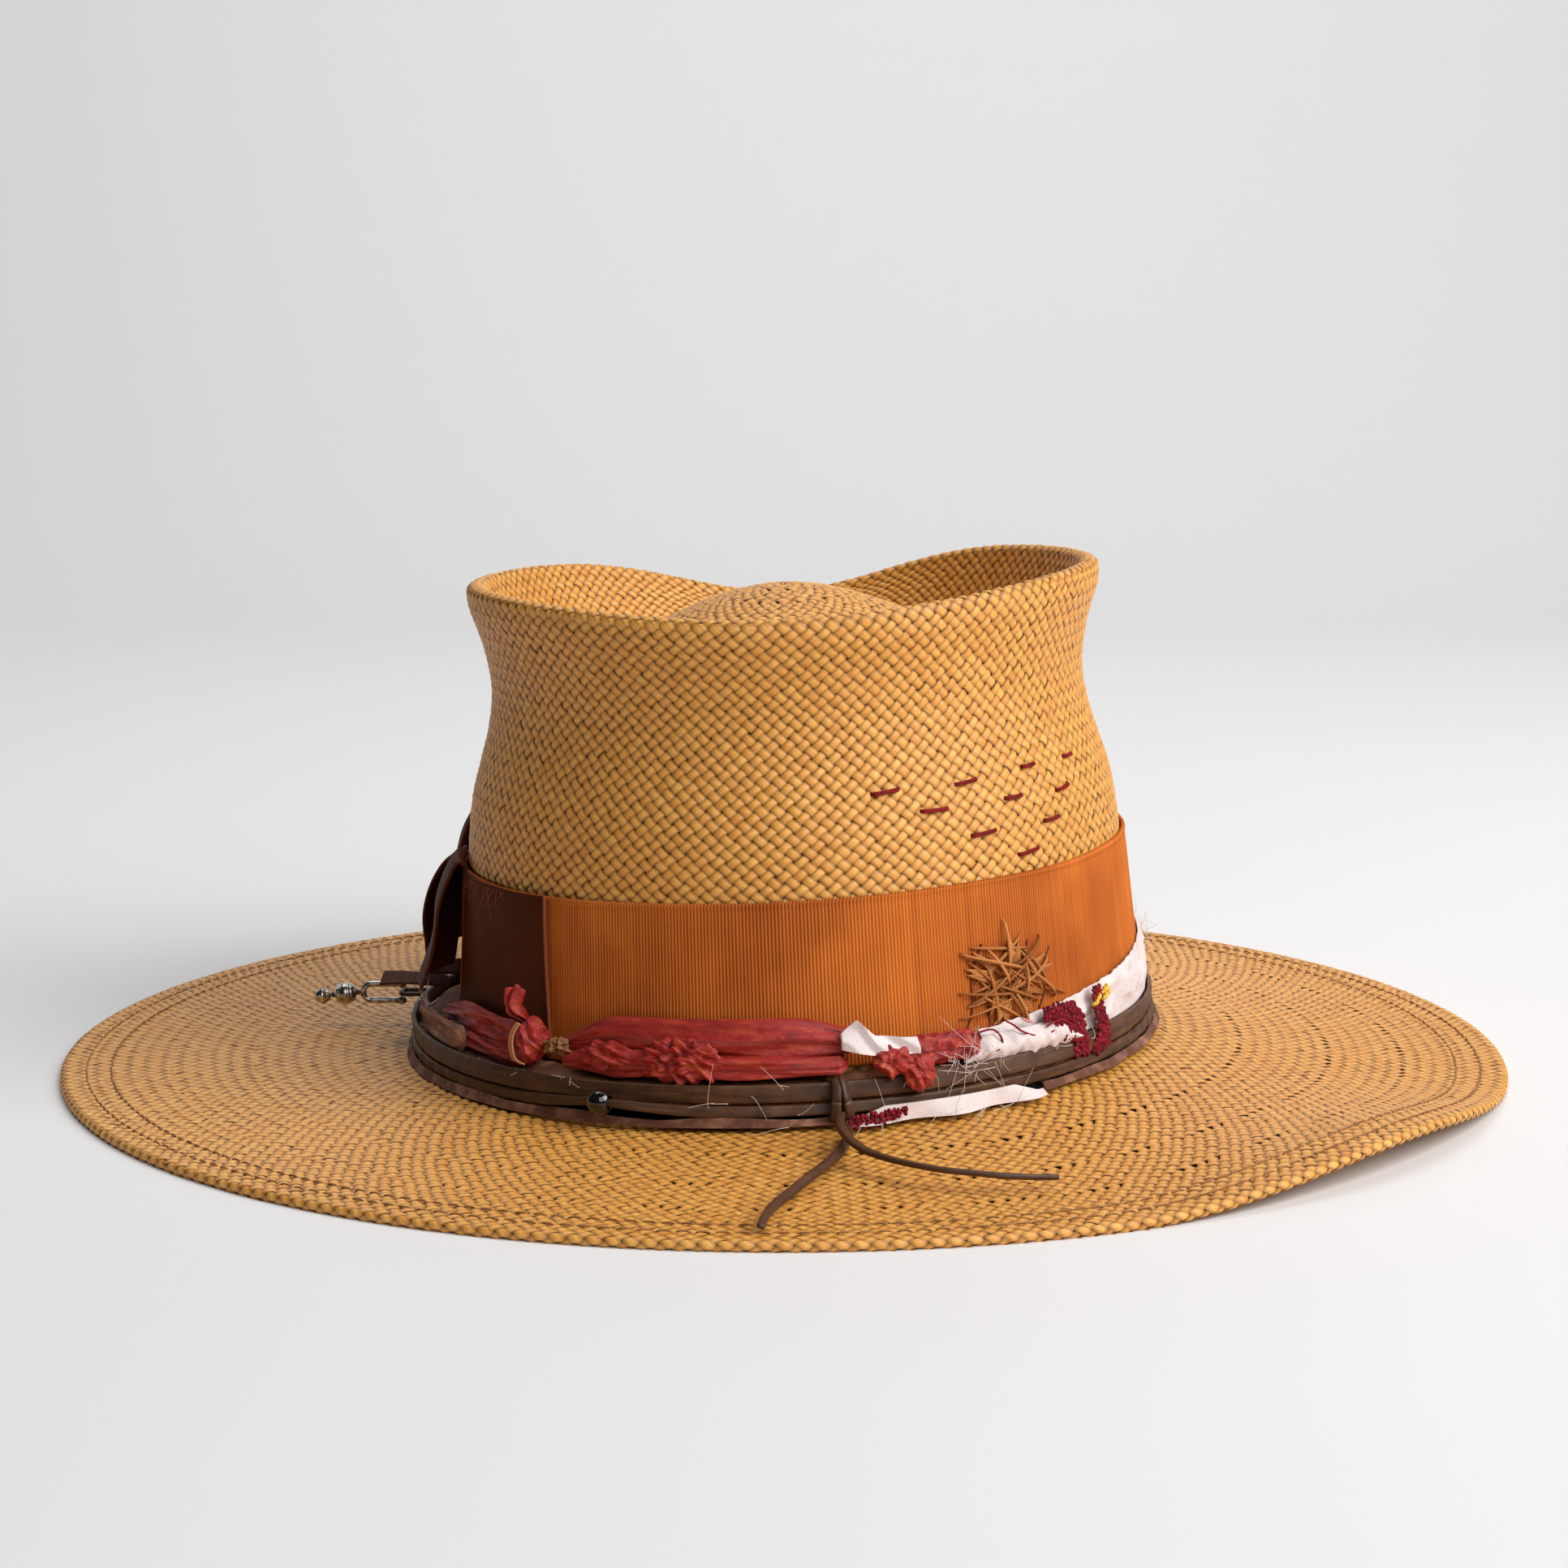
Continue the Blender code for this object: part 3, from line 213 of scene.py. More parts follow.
# ---------------------------------------------------------------- the hat's surfaces


def smooth_value(table, at):
    """A smooth curve through a table of (place, value) pairs, read at an array of places."""
    x, y = np.array(table).T
    slope = np.empty(len(x))
    slope[1:-1] = (y[2:] - y[:-2]) / (x[2:] - x[:-2])
    slope[0] = (y[1] - y[0]) / (x[1] - x[0])
    slope[-1] = (y[-1] - y[-2]) / (x[-1] - x[-2])
    k = np.clip(np.searchsorted(x, at, side="left") - 1, 0, len(x) - 2)
    span = x[k + 1] - x[k]
    t = np.clip((at - x[k]) / span, 0, 1)
    return (
        y[k] * (2 * t**3 - 3 * t**2 + 1)
        + slope[k] * span * (t**3 - 2 * t**2 + t)
        + y[k + 1] * (3 * t**2 - 2 * t**3)
        + slope[k + 1] * span * (t**3 - t**2)
    )


def lobe(angle, centre, sharpness):
    return ((1 + np.cos(angle - centre)) / 2) ** sharpness


def rim_height(angle):
    near = RIM_NEAR_DIP * lobe(angle, -math.pi / 2, RIM_NEAR_DIP_SHARPNESS)
    far = RIM_FAR_DIP * lobe(angle, math.pi / 2, RIM_FAR_DIP_SHARPNESS)
    return RIM_HEIGHT - near - far


def oval(angle, height, offset):
    share = np.clip(height / rim_height(angle), 0, 1)
    inset = smooth_value(WALL_INSETS, share)
    a = CROWN_HALF_WIDTH - inset
    b = CROWN_HALF_LENGTH - inset - END_TAPER * share
    nx, ny = b * np.cos(angle), a * np.sin(angle)
    length = np.hypot(nx, ny)
    return a * np.cos(angle) + offset * nx / length, b * np.sin(angle) + offset * ny / length


def seat(x, y, height):
    """From the crown's frame to the world, as an array of points."""
    cos, sin = math.cos(CROWN_LEAN), math.sin(CROWN_LEAN)
    x, y, height = np.broadcast_arrays(x, y, height)
    return np.stack([CROWN_SHIFT + x * cos - height * sin, y, FOOT_RISE + height * cos + x * sin], -1)


def on_crown(angle, height, offset):
    angle, height, offset = np.broadcast_arrays(angle, height, offset)
    x, y = oval(angle, height, offset)
    return seat(x, y, height)


def edge_lift(angle):
    away = np.abs(np.angle(np.exp(1j * (angle - LIFT_ANGLE))))
    return EDGE_LIFT * np.cos(math.pi / 2 * np.clip(away / LIFT_REACH, 0, 1)) ** 2


def edge_point(angle, inset, height):
    x = (BRIM_HALF_WIDTH - inset) * np.cos(angle)
    y = (BRIM_HALF_LENGTH - inset) * np.sin(angle)
    return np.stack(np.broadcast_arrays(x, y, height + edge_lift(angle)), -1)


def brim_top(angle, share):
    """The brim's upper face, from the crown's foot (0) to the hem's inner edge (1)."""
    foot = on_crown(angle, 0.0, FOOT_FILLET)
    edge = edge_point(angle, HEM_WIDTH, 0.0)
    ease = 1 - (1 - share) ** 2
    z = foot[..., 2] + (HEM_THICKNESS - foot[..., 2]) * ease + edge_lift(angle) * share * share
    x = foot[..., 0] + (edge[..., 0] - foot[..., 0]) * share
    y = foot[..., 1] + (edge[..., 1] - foot[..., 1]) * share
    return np.stack(np.broadcast_arrays(x, y, z), -1)


WALL_LENGTH = RIM_HEIGHT - LIP_RADIUS - FOOT_FILLET
LIP_LENGTH = math.pi * LIP_RADIUS
INNER_LENGTH = 0.0160
COVE_LENGTH = 0.0065
DOME_LENGTH = 0.0800
BRIM_LENGTH = 0.0800


def wall(angle, along):
    """The crown's wall from its foot up."""
    height = FOOT_FILLET + (rim_height(angle) - LIP_RADIUS - FOOT_FILLET) * along / WALL_LENGTH
    return on_crown(angle, height, 0.0)


def rim_and_inside(angle, along):
    """Over the rolled rim and down its inner side to the trough round the dome."""
    rim = rim_height(angle)
    turn = math.pi * np.clip(along / LIP_LENGTH, 0, 1)
    x, y = oval(angle, rim, -LIP_RADIUS + LIP_RADIUS * np.cos(turn))
    height = rim - LIP_RADIUS + LIP_RADIUS * np.sin(turn)
    trough = RIM_HEIGHT - TROUGH_DEPTH
    down = np.clip((along - LIP_LENGTH) / INNER_LENGTH, 0, 1)
    inset = 2 * LIP_RADIUS + (WALL_FOOT_INSET - 2 * LIP_RADIUS) * down
    low = rim - LIP_RADIUS + (trough + WALL_FOOT_RISE - rim + LIP_RADIUS) * down
    t = np.clip((along - LIP_LENGTH - INNER_LENGTH) / COVE_LENGTH, 0, 1)
    inset = inset + (TROUGH_INSET - WALL_FOOT_INSET) * t * t
    low = low - WALL_FOOT_RISE * (1 - (1 - t) ** 2)
    inside = along > LIP_LENGTH
    ix, iy = oval(angle, rim, -inset)
    return seat(np.where(inside, ix, x), np.where(inside, iy, y), np.where(inside, low, height))


def dome(angle, along):
    """The sunk tip: from the trough (0) up to the middle of the inner dome."""
    share = np.clip(1 - along / DOME_LENGTH, 0, 1)
    trough, top = RIM_HEIGHT - TROUGH_DEPTH, RIM_HEIGHT - DOME_DROP
    height = trough + (top - trough) * (1 + np.cos(math.pi * share)) / 2
    x, y = oval(angle, rim_height(angle), -TROUGH_INSET)
    return seat(x * share, y * share, height)


def brim(angle, along):
    """The brim's top from the crown's foot to the hem, and on over the hem to its edge."""
    share = np.clip(along / BRIM_LENGTH, 0, 1)
    over = np.clip(along - BRIM_LENGTH, 0, None)
    top = brim_top(angle, share)
    flat = edge_point(angle, HEM_WIDTH - np.minimum(over, HEM_WIDTH - HEM_THICKNESS / 2), HEM_THICKNESS)
    turn = np.clip((over - HEM_WIDTH + HEM_THICKNESS / 2) / (HEM_THICKNESS / 2), 0, math.pi)
    round_ = edge_point(
        angle,
        HEM_THICKNESS / 2 * (1 - np.sin(turn)),
        HEM_THICKNESS / 2 * (1 + np.cos(turn)),
    )
    beyond = (over > HEM_WIDTH - HEM_THICKNESS / 2)[..., None]
    return np.where((over > 0)[..., None], np.where(beyond, round_, flat), top)


def underside(angle, along):
    """Below: from the hem's inner edge in under the brim to the crown's foot."""
    share = np.clip(1 - along / BRIM_LENGTH, 0, 1)
    return brim_top(angle, share) - np.array([0, 0, STRAW])


def hem_below(angle, along):
    """The hem's under side, from its edge inward."""
    return edge_point(angle, HEM_THICKNESS / 2 + along, 0.0)


def wall_inside(angle, along):
    height = (rim_height(angle) - LIP_RADIUS) * along / WALL_LENGTH
    return on_crown(angle, height, -STRAW)


def dome_below(angle, along):
    share = np.clip(along / DOME_LENGTH, 0, 1)
    trough, top = RIM_HEIGHT - TROUGH_DEPTH - STRAW, RIM_HEIGHT - DOME_DROP - STRAW
    height = trough + (top - trough) * (1 + np.cos(math.pi * share)) / 2
    x, y = oval(angle, rim_height(angle), -TROUGH_INSET)
    return seat(x * share, y * share, height)


# ---------------------------------------------------------------- meshes and pieces


def new_mesh(name, points, faces, **layers):
    mesh = bpy.data.meshes.new(name)
    mesh.from_pydata(np.asarray(points, float), [], faces)
    for layer, values in layers.items():
        if layer == "uv":
            corners = np.empty(len(mesh.loops), np.int32)
            mesh.loops.foreach_get("vertex_index", corners)
            mesh.uv_layers.new(name="UVMap").data.foreach_set("uv",
                values[corners].astype(np.float32).ravel())
        else:
            made = mesh.attributes.new(layer, "FLOAT", "POINT")
            made.data.foreach_set("value", np.asarray(values, np.float32))
    mesh.shade_smooth()
    return mesh


def piece(name, mesh, look, replaces=(), body="hat"):
    made = bpy.data.objects.new(name, mesh)
    mesh.materials.clear()
    mesh.materials.append(look)
    bpy.context.scene.collection.objects.link(made)
    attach(made, body)
    if replaces:
        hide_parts(*replaces)
    return made


def ring_faces(rows, columns):
    """Faces of a grid of points that closes on itself both ways."""
    r, k = np.arange(rows)[:, None], np.arange(columns)[None]
    q, d = (r + 1) % rows, (k + 1) % columns
    return np.stack([r * columns + k, r * columns + d, q * columns + d, q * columns + k], -1).reshape(-1, 4)


def face_out(mesh, weld=0.0):
    """Welds points closer than weld, then turns every face of a closed mesh outward."""
    shape = bmesh.new()
    shape.from_mesh(mesh)
    if weld:
        bmesh.ops.remove_doubles(shape, verts=shape.verts, dist=weld)
    bmesh.ops.recalc_face_normals(shape, faces=shape.faces)
    shape.to_mesh(mesh)
    shape.free()
    mesh.shade_smooth()


def grid_faces(rows, columns, closed=False):
    """Faces of a grid of points, row by row. closed joins each row's last point to its first."""
    r = np.arange(rows - 1)[:, None]
    c = np.arange(columns if closed else columns - 1)[None]
    n = (c + 1) % columns
    return np.stack([r * columns + c, r * columns + n, (r + 1) * columns + n, (r + 1) * columns + c],
                    -1).reshape(-1, 4)


def surface_frame(surface, angle, along, side):
    """Points of a surface and its normals. side is 1 or -1 and picks which way the normals face."""
    step = 1e-4
    point = surface(angle, along)
    round_ = surface(angle + step, along) - surface(angle - step, along)
    up = surface(angle, along + step) - surface(angle, along - step)
    normal = np.cross(round_, up) * side
    normal /= np.maximum(np.linalg.norm(normal, axis=-1, keepdims=True), 1e-12)
    return point, normal


def weave(surface, side, strands, start, end, rows, relief=0.00050, detail=(4, 4), sink=0.00012, twist=None):
    """Tiles of a plain weave on a surface, from start to end along it, in rings.

    Every ring has as many tiles as there are strands of one set, and the rings alternate: in one the
    first set passes over, in the next the second set does. Returns points, faces, uv, tint and groove,
    the painted shade that darkens each tile towards its sides and ends."""
    ring, place = np.meshgrid(np.arange(rows), np.arange(strands), indexing="ij")
    ring, place = ring.ravel(), place.ravel()
    across, lengthwise = np.meshgrid(
        np.linspace(0.03, 0.97, detail[0]), np.linspace(-0.16, 1.16, detail[1]), indexing="ij"
    )
    across, lengthwise = across.ravel()[None], lengthwise.ravel()[None]
    first = (ring % 2 == 0)[:, None]
    count = len(ring)
    nudge = random.normal(0, 0.03, (count, 2))
    slim = 0.95 + random.normal(0, 0.035, count)[:, None]
    across_wide = 0.5 + (across - 0.5) * slim + nudge[:, :1]
    long_wide = lengthwise + nudge[:, 1:]
    a = np.where(first, across_wide, long_wide)
    b = np.where(first, long_wide, across_wide)
    angle = (2 * place + ring % 2)[:, None] * math.pi / strands + (a - b) * math.pi / strands
    step = (end - start) / rows
    along = start + (ring[:, None] + a + b - 0.5) * step
    if twist is not None:
        angle = angle + twist(angle, along)
    point, normal = surface_frame(surface, angle, along, side)
    dome_across = np.sqrt(np.clip(1 - (2 * across - 1) ** 2 * 0.97, 0, 1))
    arc = np.sin(math.pi * np.clip((lengthwise + 0.16) / 1.32, 0, 1)) ** 0.7
    lift = relief * (0.95 * dome_across + 1.0 * arc - 1.05) + random.normal(0, relief * 0.07, count)[:, None]
    point = point + normal * (lift - sink)[..., None]
    strand = np.where(first[:, 0], place + ring // 2, place - ring // 2) % strands + first[:, 0] * strands
    strand_tint = random.normal(0, 1, 2 * strands)
    tint = 0.65 * strand_tint[strand] + 0.6 * random.normal(0, 1, count)
    width = 2.6
    u = across * width + strand[:, None] * 7.31
    v = lengthwise * width + ring[:, None] * width * 0.5 + np.zeros_like(u)
    n = across.shape[1]
    # Painted shade: near 1 at each tile's sides and ends, where the strands dip under each other; the straw's look
    # darkens the colour there.
    groove = np.clip(np.abs(2 * across - 1) ** 5 + 0.7 * np.clip(np.abs(2 * lengthwise - 1) - 0.55, 0, 1), 0,
                     1)
    groove = np.broadcast_to(groove, (count, n)).ravel()
    base = grid_faces(detail[0], detail[1])
    faces = (base[None] + (np.arange(count) * n)[:, None, None]).reshape(-1, 4)
    if side < 0:
        faces = faces[:, ::-1]
    tint = np.repeat(tint, n)
    return point.reshape(-1, 3), faces, np.stack([u + np.zeros_like(v), v], -1).reshape(-1, 2), tint, groove


def woven_piece(name, parts, look, replaces=()):
    points, faces, uvs, tints, grooves, base = [], [], [], [], [], 0
    for point, face, uv, tint, groove in parts:
        grooves.append(groove)
        points.append(point)
        faces.append(face + base)
        uvs.append(uv)
        tints.append(tint)
        base += len(point)
    mesh = new_mesh(
        name,
        np.concatenate(points),
        np.concatenate(faces),
        uv=np.concatenate(uvs),
        tint=np.concatenate(tints),
        groove=np.concatenate(grooves),
    )
    return piece(name, mesh, look, replaces)


def sheet_grid(surface, side, offset, start, end, rows, columns):
    angle, along = np.meshgrid(np.arange(columns) * TAU / columns, np.linspace(start, end, rows))
    point, normal = surface_frame(surface, angle, along, side)
    return (point + normal * offset).reshape(-1, 3), grid_faces(rows, columns, closed=True)


# ---------------------------------------------------------------- materials


class Look:
    """A material being made, with the chains of nodes that the looks here share."""

    def __init__(self, name, roughness, **values):
        self.material = bpy.data.materials.new(name)
        self.material.use_nodes = True
        self.tree = self.material.node_tree
        self.shader = self.tree.nodes["Principled BSDF"]
        self.shader.inputs["Roughness"].default_value = roughness
        for value_name, value in values.items():
            self.shader.inputs[SOCKETS[value_name]].default_value = value

    def link(self, source, target):
        self.tree.links.new(source, target)

    def node(self, kind, **settings):
        made = self.tree.nodes.new(kind)
        for name, value in settings.items():
            if hasattr(made, name):
                setattr(made, name, value)
            else:
                made.inputs[name].default_value = value
        return made

    def uv(self):
        return self.node("ShaderNodeUVMap").outputs["UV"]

    def attribute(self, name):
        return self.node("ShaderNodeAttribute", attribute_name=name).outputs["Fac"]

    def scaled(self, source, scale):
        made = self.node("ShaderNodeVectorMath", operation="MULTIPLY")
        made.inputs[1].default_value = scale
        self.link(source, made.inputs[0])
        return made.outputs[0]

    def noise(self, source, scale, detail, roughness):
        made = self.node("ShaderNodeTexNoise", Scale=1.0, Detail=detail, Roughness=roughness)
        self.link(self.scaled(source, scale), made.inputs["Vector"])
        return made.outputs["Fac"]

    def bands(self, source, thread, turn, distortion, detail_scale=1.0):
        """Ridges one thread wide, turned by an angle."""
        k = 1 / (thread * BANDS_PER_UNIT)
        mapping = self.node("ShaderNodeMapping", Scale=(k, k, 1), Rotation=(0, 0, turn))
        wave = self.node("ShaderNodeTexWave", Scale=1.0, Distortion=distortion, Detail=1.0)
        wave.inputs["Detail Scale"].default_value = detail_scale
        self.link(source, mapping.inputs["Vector"])
        self.link(mapping.outputs["Vector"], wave.inputs["Vector"])
        return wave.outputs["Fac"]

    def blend(self, value, share, base):
        """value times share, plus base, which is a number or another node's output."""
        made = self.node("ShaderNodeMath", operation="MULTIPLY_ADD")
        made.inputs[1].default_value = share
        self.link(value, made.inputs[0])
        if isinstance(base, float):
            made.inputs[2].default_value = base
        else:
            self.link(base, made.inputs[2])
        return made.outputs[0]

    def ramp(self, factor, stops):
        made = self.node("ShaderNodeValToRGB")
        band = made.color_ramp
        for i, (at, colour) in enumerate(stops):
            element = band.elements[i] if i < 2 else band.elements.new(at)
            element.position = at
            element.color = (*colour, 1)
        self.link(factor, made.inputs["Fac"])
        return made.outputs["Color"]

    def colour(self, source):
        self.link(source, self.shader.inputs["Base Color"])

    def bump(self, height, strength, distance):
        made = self.node("ShaderNodeBump", Strength=strength, Distance=distance)
        self.link(height, made.inputs["Height"])
        self.link(made.outputs["Normal"], self.shader.inputs["Normal"])

    def rough(self, factor, low, high):
        made = self.node("ShaderNodeMapRange")
        made.inputs["To Min"].default_value = low
        made.inputs["To Max"].default_value = high
        self.link(factor, made.inputs["Value"])
        self.link(made.outputs["Result"], self.shader.inputs["Roughness"])


SOCKETS = {
    "sheen": "Sheen Weight",
    "sheen_roughness": "Sheen Roughness",
    "sheen_tint": "Sheen Tint",
    "specular": "Specular IOR Level",
    "metallic": "Metallic",
    "coat": "Coat Weight",
}
BANDS_PER_UNIT = 3.1


def between(first, second, parts=2):
    """The sum of two colours over parts: their mean when parts is 2."""
    return tuple((a + b) / parts for a, b in zip(first, second))


def straw_material(name, dark, pale):
    """Dry plant strands: each has its own tone, with fine fibres along it and a soft gloss. Painted shade darkens the
    gaps between the tiles.
    """
    look = Look(name, 0.42, specular=0.5)
    fibre = look.noise(look.uv(), (4.5, 0.35, 1), 4.0, 0.6)
    mixed = look.blend(look.attribute("tint"), 0.055, fibre)
    strand = look.ramp(mixed, ((0.22, dark), (0.80, pale), (0.50, between(dark, pale))))
    # Painted shade: mixes the strand colour towards a deep brown by groove, darkest at the tiles' sides and ends.
    deep = look.node("ShaderNodeMix", data_type="RGBA")
    deep.inputs[7].default_value = (*(0.36 * c for c in dark), 1)
    look.link(look.attribute("groove"), deep.inputs[0])
    look.link(strand, deep.inputs[6])
    look.colour(deep.outputs[2])
    look.rough(fibre, 0.30, 0.58)
    look.bump(fibre, 0.35, 0.00012)
    return look.material


def plain_material(name, colour, roughness, **values):
    look = Look(name, roughness, **values)
    look.shader.inputs["Base Color"].default_value = (*colour, 1)
    return look.material


def cloth_material(name, colour, roughness, thread, vary, other):
    """Woven cloth: crossing threads at their real pitch, uneven dye and a soft sheen."""
    look = Look(name, roughness, sheen=0.09, sheen_roughness=0.4, specular=0.35)
    uv = look.uv()
    cross = look.node("ShaderNodeMath", operation="ADD")
    for place, turn in enumerate((0, math.pi / 2)):
        look.link(look.bands(uv, thread, turn, 0.6, 1.5), cross.inputs[place])
    dye = look.noise(uv, (1 / CLOTH_MOTTLE, 1 / CLOTH_MOTTLE, 1), 5.0, 0.6)
    dark = tuple(c * (1 - vary) for c in colour)
    mixed = look.blend(cross.outputs[0], 0.025, dye)
    look.colour(look.ramp(mixed, ((0.30, dark), (0.72, other), (0.50, colour))))
    look.bump(cross.outputs[0], 0.8, 0.00006)
    return look.material


CLOTH_MOTTLE = 0.006


def ribbon_material(name, colour, pale, stretch, specular=0.2, sheen=0.04):
    """Grosgrain: ribs with their own tone at the rib's pitch and painted shade between them, both carried in the tint,
    and fine threads across them.
    """
    look = Look(name, 0.62, sheen=sheen, sheen_roughness=0.35, specular=specular)
    uv = look.uv()
    mixed = look.blend(look.attribute("tint"), 0.30, look.noise(uv, stretch, 3.0, 0.6))
    look.colour(look.ramp(mixed, ((0.02, colour), (1.0, pale), (0.56, between(colour, pale)))))
    look.bump(look.noise(uv, (5200, 5200, 1), 2.0, 0.5), 0.4, 0.00005)
    return look.material


def silk_material(name, dark, colour, pale):
    """Crumpled silk: soft gloss, fine slubs along the cloth, and dye that fades in patches."""
    look = Look(name, 0.42, sheen=0.04, sheen_roughness=0.3, sheen_tint=(1.0, 0.75, 0.72, 1))
    uv = look.uv()
    patches = look.noise(uv, (110, 260, 1), 6.0, 0.62)
    look.colour(look.ramp(patches, ((0.28, dark), (0.74, pale), (0.5, colour))))
    slub = look.noise(uv, (900, 5200, 1), 3.0, 0.6)
    creases = look.noise(uv, (420, 900, 1), 4.0, 0.65)
    look.bump(look.blend(creases, 5.0, slub), 0.7, 0.00010)
    return look.material


def leather_material(name, dark, pale, run=(1.0, 0.14)):
    """Flat leather lace: worn paler in places, with a fine grain and creases."""
    look = Look(name, 0.5)
    uv = look.uv()
    wear = look.noise(uv, (620 * run[0], 620 * run[1], 1), 5.0, 0.65)
    look.colour(look.ramp(wear, ((0.32, dark), (0.70, pale), (0.52, between(dark, pale, 2.3)))))
    pores = look.node("ShaderNodeTexVoronoi", Scale=1.0)
    look.link(look.scaled(uv, (LEATHER_GRAIN, LEATHER_GRAIN * 0.6, 1)), pores.inputs["Vector"])
    look.bump(pores.outputs["Distance"], 0.45, 0.00010)
    look.rough(wear, 0.38, 0.65)
    return look.material


LEATHER_GRAIN = 2400.0


def thread_material(name, colour, pale):
    """Embroidery thread: plies that wind round it, and a shade of its own for every stitch."""
    look = Look(name, 0.6, specular=0.2)
    plies = look.bands(look.uv(), 0.0006, math.radians(52), 0.5)
    mixed = look.blend(look.attribute("tint"), 0.16, look.blend(plies, 0.4, 0.3))
    look.colour(look.ramp(mixed, ((0.1, colour), (0.9, pale))))
    look.bump(plies, 0.7, 0.00010)
    return look.material


def metal_material(name, dark, pale):
    """Old silver: bright where it is rubbed, dark in its hollows."""
    look = Look(name, 0.28, metallic=1.0)
    tarnish = look.node("ShaderNodeTexNoise", Scale=520.0, Detail=5.0, Roughness=0.6)
    look.link(look.node("ShaderNodeTexCoord").outputs["Object"], tarnish.inputs["Vector"])
    look.colour(look.ramp(tarnish.outputs["Fac"], ((0.36, dark), (0.60, pale))))
    look.rough(tarnish.outputs["Fac"], 0.42, 0.16)
    return look.material


# ---------------------------------------------------------------- the straw


def crown_twist(angle, along):
    """The weave leans a little towards the right side."""
    return 0.9 * (along - 0.06) * lobe(angle, math.radians(-70), 2)


# How many strands one set of the crown's weave has, the height of a row, and how finely a tile is cut.
CROWN_STRANDS = 132
ROW_PITCH = 0.00166
RIM_ROWS = 18
RIM_SEAM = 0.0012
COARSE, FINE = (3, 3), (5, 5)
# The straw behind the ribbon isn't seen and isn't woven between these lengths up the wall.
UNDER_RIBBON_LOW, UNDER_RIBBON_HIGH = 0.0135, 0.0465
# Rings of weave: strands of one set, and the lengths where the ring starts and ends.
TIP_ZONES = (
    (112, 0.0, 0.016),
    (88, 0.016, 0.030),
    (64, 0.030, 0.044),
    (44, 0.044, 0.058),
    (24, 0.058, 0.069),
    (10, 0.069, 0.078),
)
BRIM_ZONES = (
    (168, 0.0, 0.024),
    (210, 0.024, 0.047),
    (252, 0.047, 0.066),
    (294, 0.066, BRIM_LENGTH + HEM_WIDTH + 0.003),
)


def make_straw():
    straw = straw_material("straw_strands", (0.66, 0.230, 0.031), (0.98, 0.550, 0.125))
    # Painted shade: a plain dark brown for the sheet seen through the gaps in the weave.
    gap_shade_brown = plain_material("straw_gap_shade_sheet", (0.12, 0.045, 0.012), 0.8)
    low_rows = round(UNDER_RIBBON_LOW / ROW_PITCH)
    high_rows = round((WALL_LENGTH - UNDER_RIBBON_HIGH) / ROW_PITCH)
    seam = WALL_LENGTH + RIM_SEAM
    crown = [
        weave(wall, 1, CROWN_STRANDS, 0.0, UNDER_RIBBON_LOW, low_rows, detail=COARSE, twist=crown_twist),
        weave(wall, 1, CROWN_STRANDS, UNDER_RIBBON_HIGH, seam, high_rows, detail=FINE, twist=crown_twist),
        weave(rim_and_inside, 1, CROWN_STRANDS, 0.0, LIP_LENGTH + INNER_LENGTH + COVE_LENGTH, RIM_ROWS),
    ]
    woven_piece("straw_crown_weave", crown, straw, ("straw_body",))

    tip = []
    for strands, start, end in TIP_ZONES:
        reach = TAU * 0.075 * (1 - (start + end) / 2 / DOME_LENGTH) / strands
        rows = max(3, round((end - start) / (reach / 2) * 0.95))
        tip.append(weave(dome, 1, strands, start, end, rows))
    woven_piece("straw_tip_weave", tip, straw)

    top = []
    for strands, start, end in BRIM_ZONES:
        reach = TAU * (0.0975 + (start + end) / 2) / strands
        rows = round((end - start) / (reach / 2))
        top.append(weave(brim, -1, strands, start, end, rows, relief=0.00036))
    woven_piece("straw_brim_weave", top, straw)

    below = [
        weave(hem_below, 1, 290, 0.0, 0.0112, 6, detail=COARSE, relief=0.0002, sink=-0.0001),
        weave(underside, 1, 270, 0.0, 0.028, 15, detail=COARSE),
        weave(underside, 1, 210, 0.028, 0.054, 14, detail=COARSE),
        weave(underside, 1, 168, 0.054, 0.079, 13, detail=COARSE),
        weave(wall_inside, -1, CROWN_STRANDS, 0.026, WALL_LENGTH, 52, detail=COARSE),
        weave(dome_below, 1, 100, 0.080, 0.048, 20, detail=COARSE),
        weave(dome_below, 1, 52, 0.048, 0.004, 24, detail=COARSE),
    ]
    woven_piece("straw_inner_weave", below, straw)

    # Painted shade: a dark sheet just under the weave, seen through the gaps between tiles in place of the shaded
    # strands beneath.
    depth = -0.0006
    parts = [
        sheet_grid(brim, -1, depth, 0.0, BRIM_LENGTH + HEM_WIDTH - 0.0008, 40, 240),
        sheet_grid(wall, 1, depth, 0.0, WALL_LENGTH, 60, 240),
        sheet_grid(rim_and_inside, 1, depth, 0.0, LIP_LENGTH + INNER_LENGTH + COVE_LENGTH, 24, 240),
        sheet_grid(dome, 1, depth, 0.0, DOME_LENGTH * 0.999, 30, 240),
    ]
    points, faces, base = [], [], 0
    for point, face in parts:
        points.append(point)
        faces.append(face + base)
        base += len(point)
    mesh = new_mesh("straw_gap_shade_sheet", np.concatenate(points), np.concatenate(faces))
    piece("straw_gap_shade_sheet", mesh, gap_shade_brown)


# ---------------------------------------------------------------- cloth, thread and strap builders


def strip_widths(rows, edge=0.06):
    """Places across a strip from 0 to 1, with more of them near both edges."""
    inner = np.linspace(edge, 1 - edge, rows - 6)
    return np.concatenate([[0, edge * 0.25, edge * 0.6], inner, [1 - edge * 0.6, 1 - edge * 0.25, 1]])


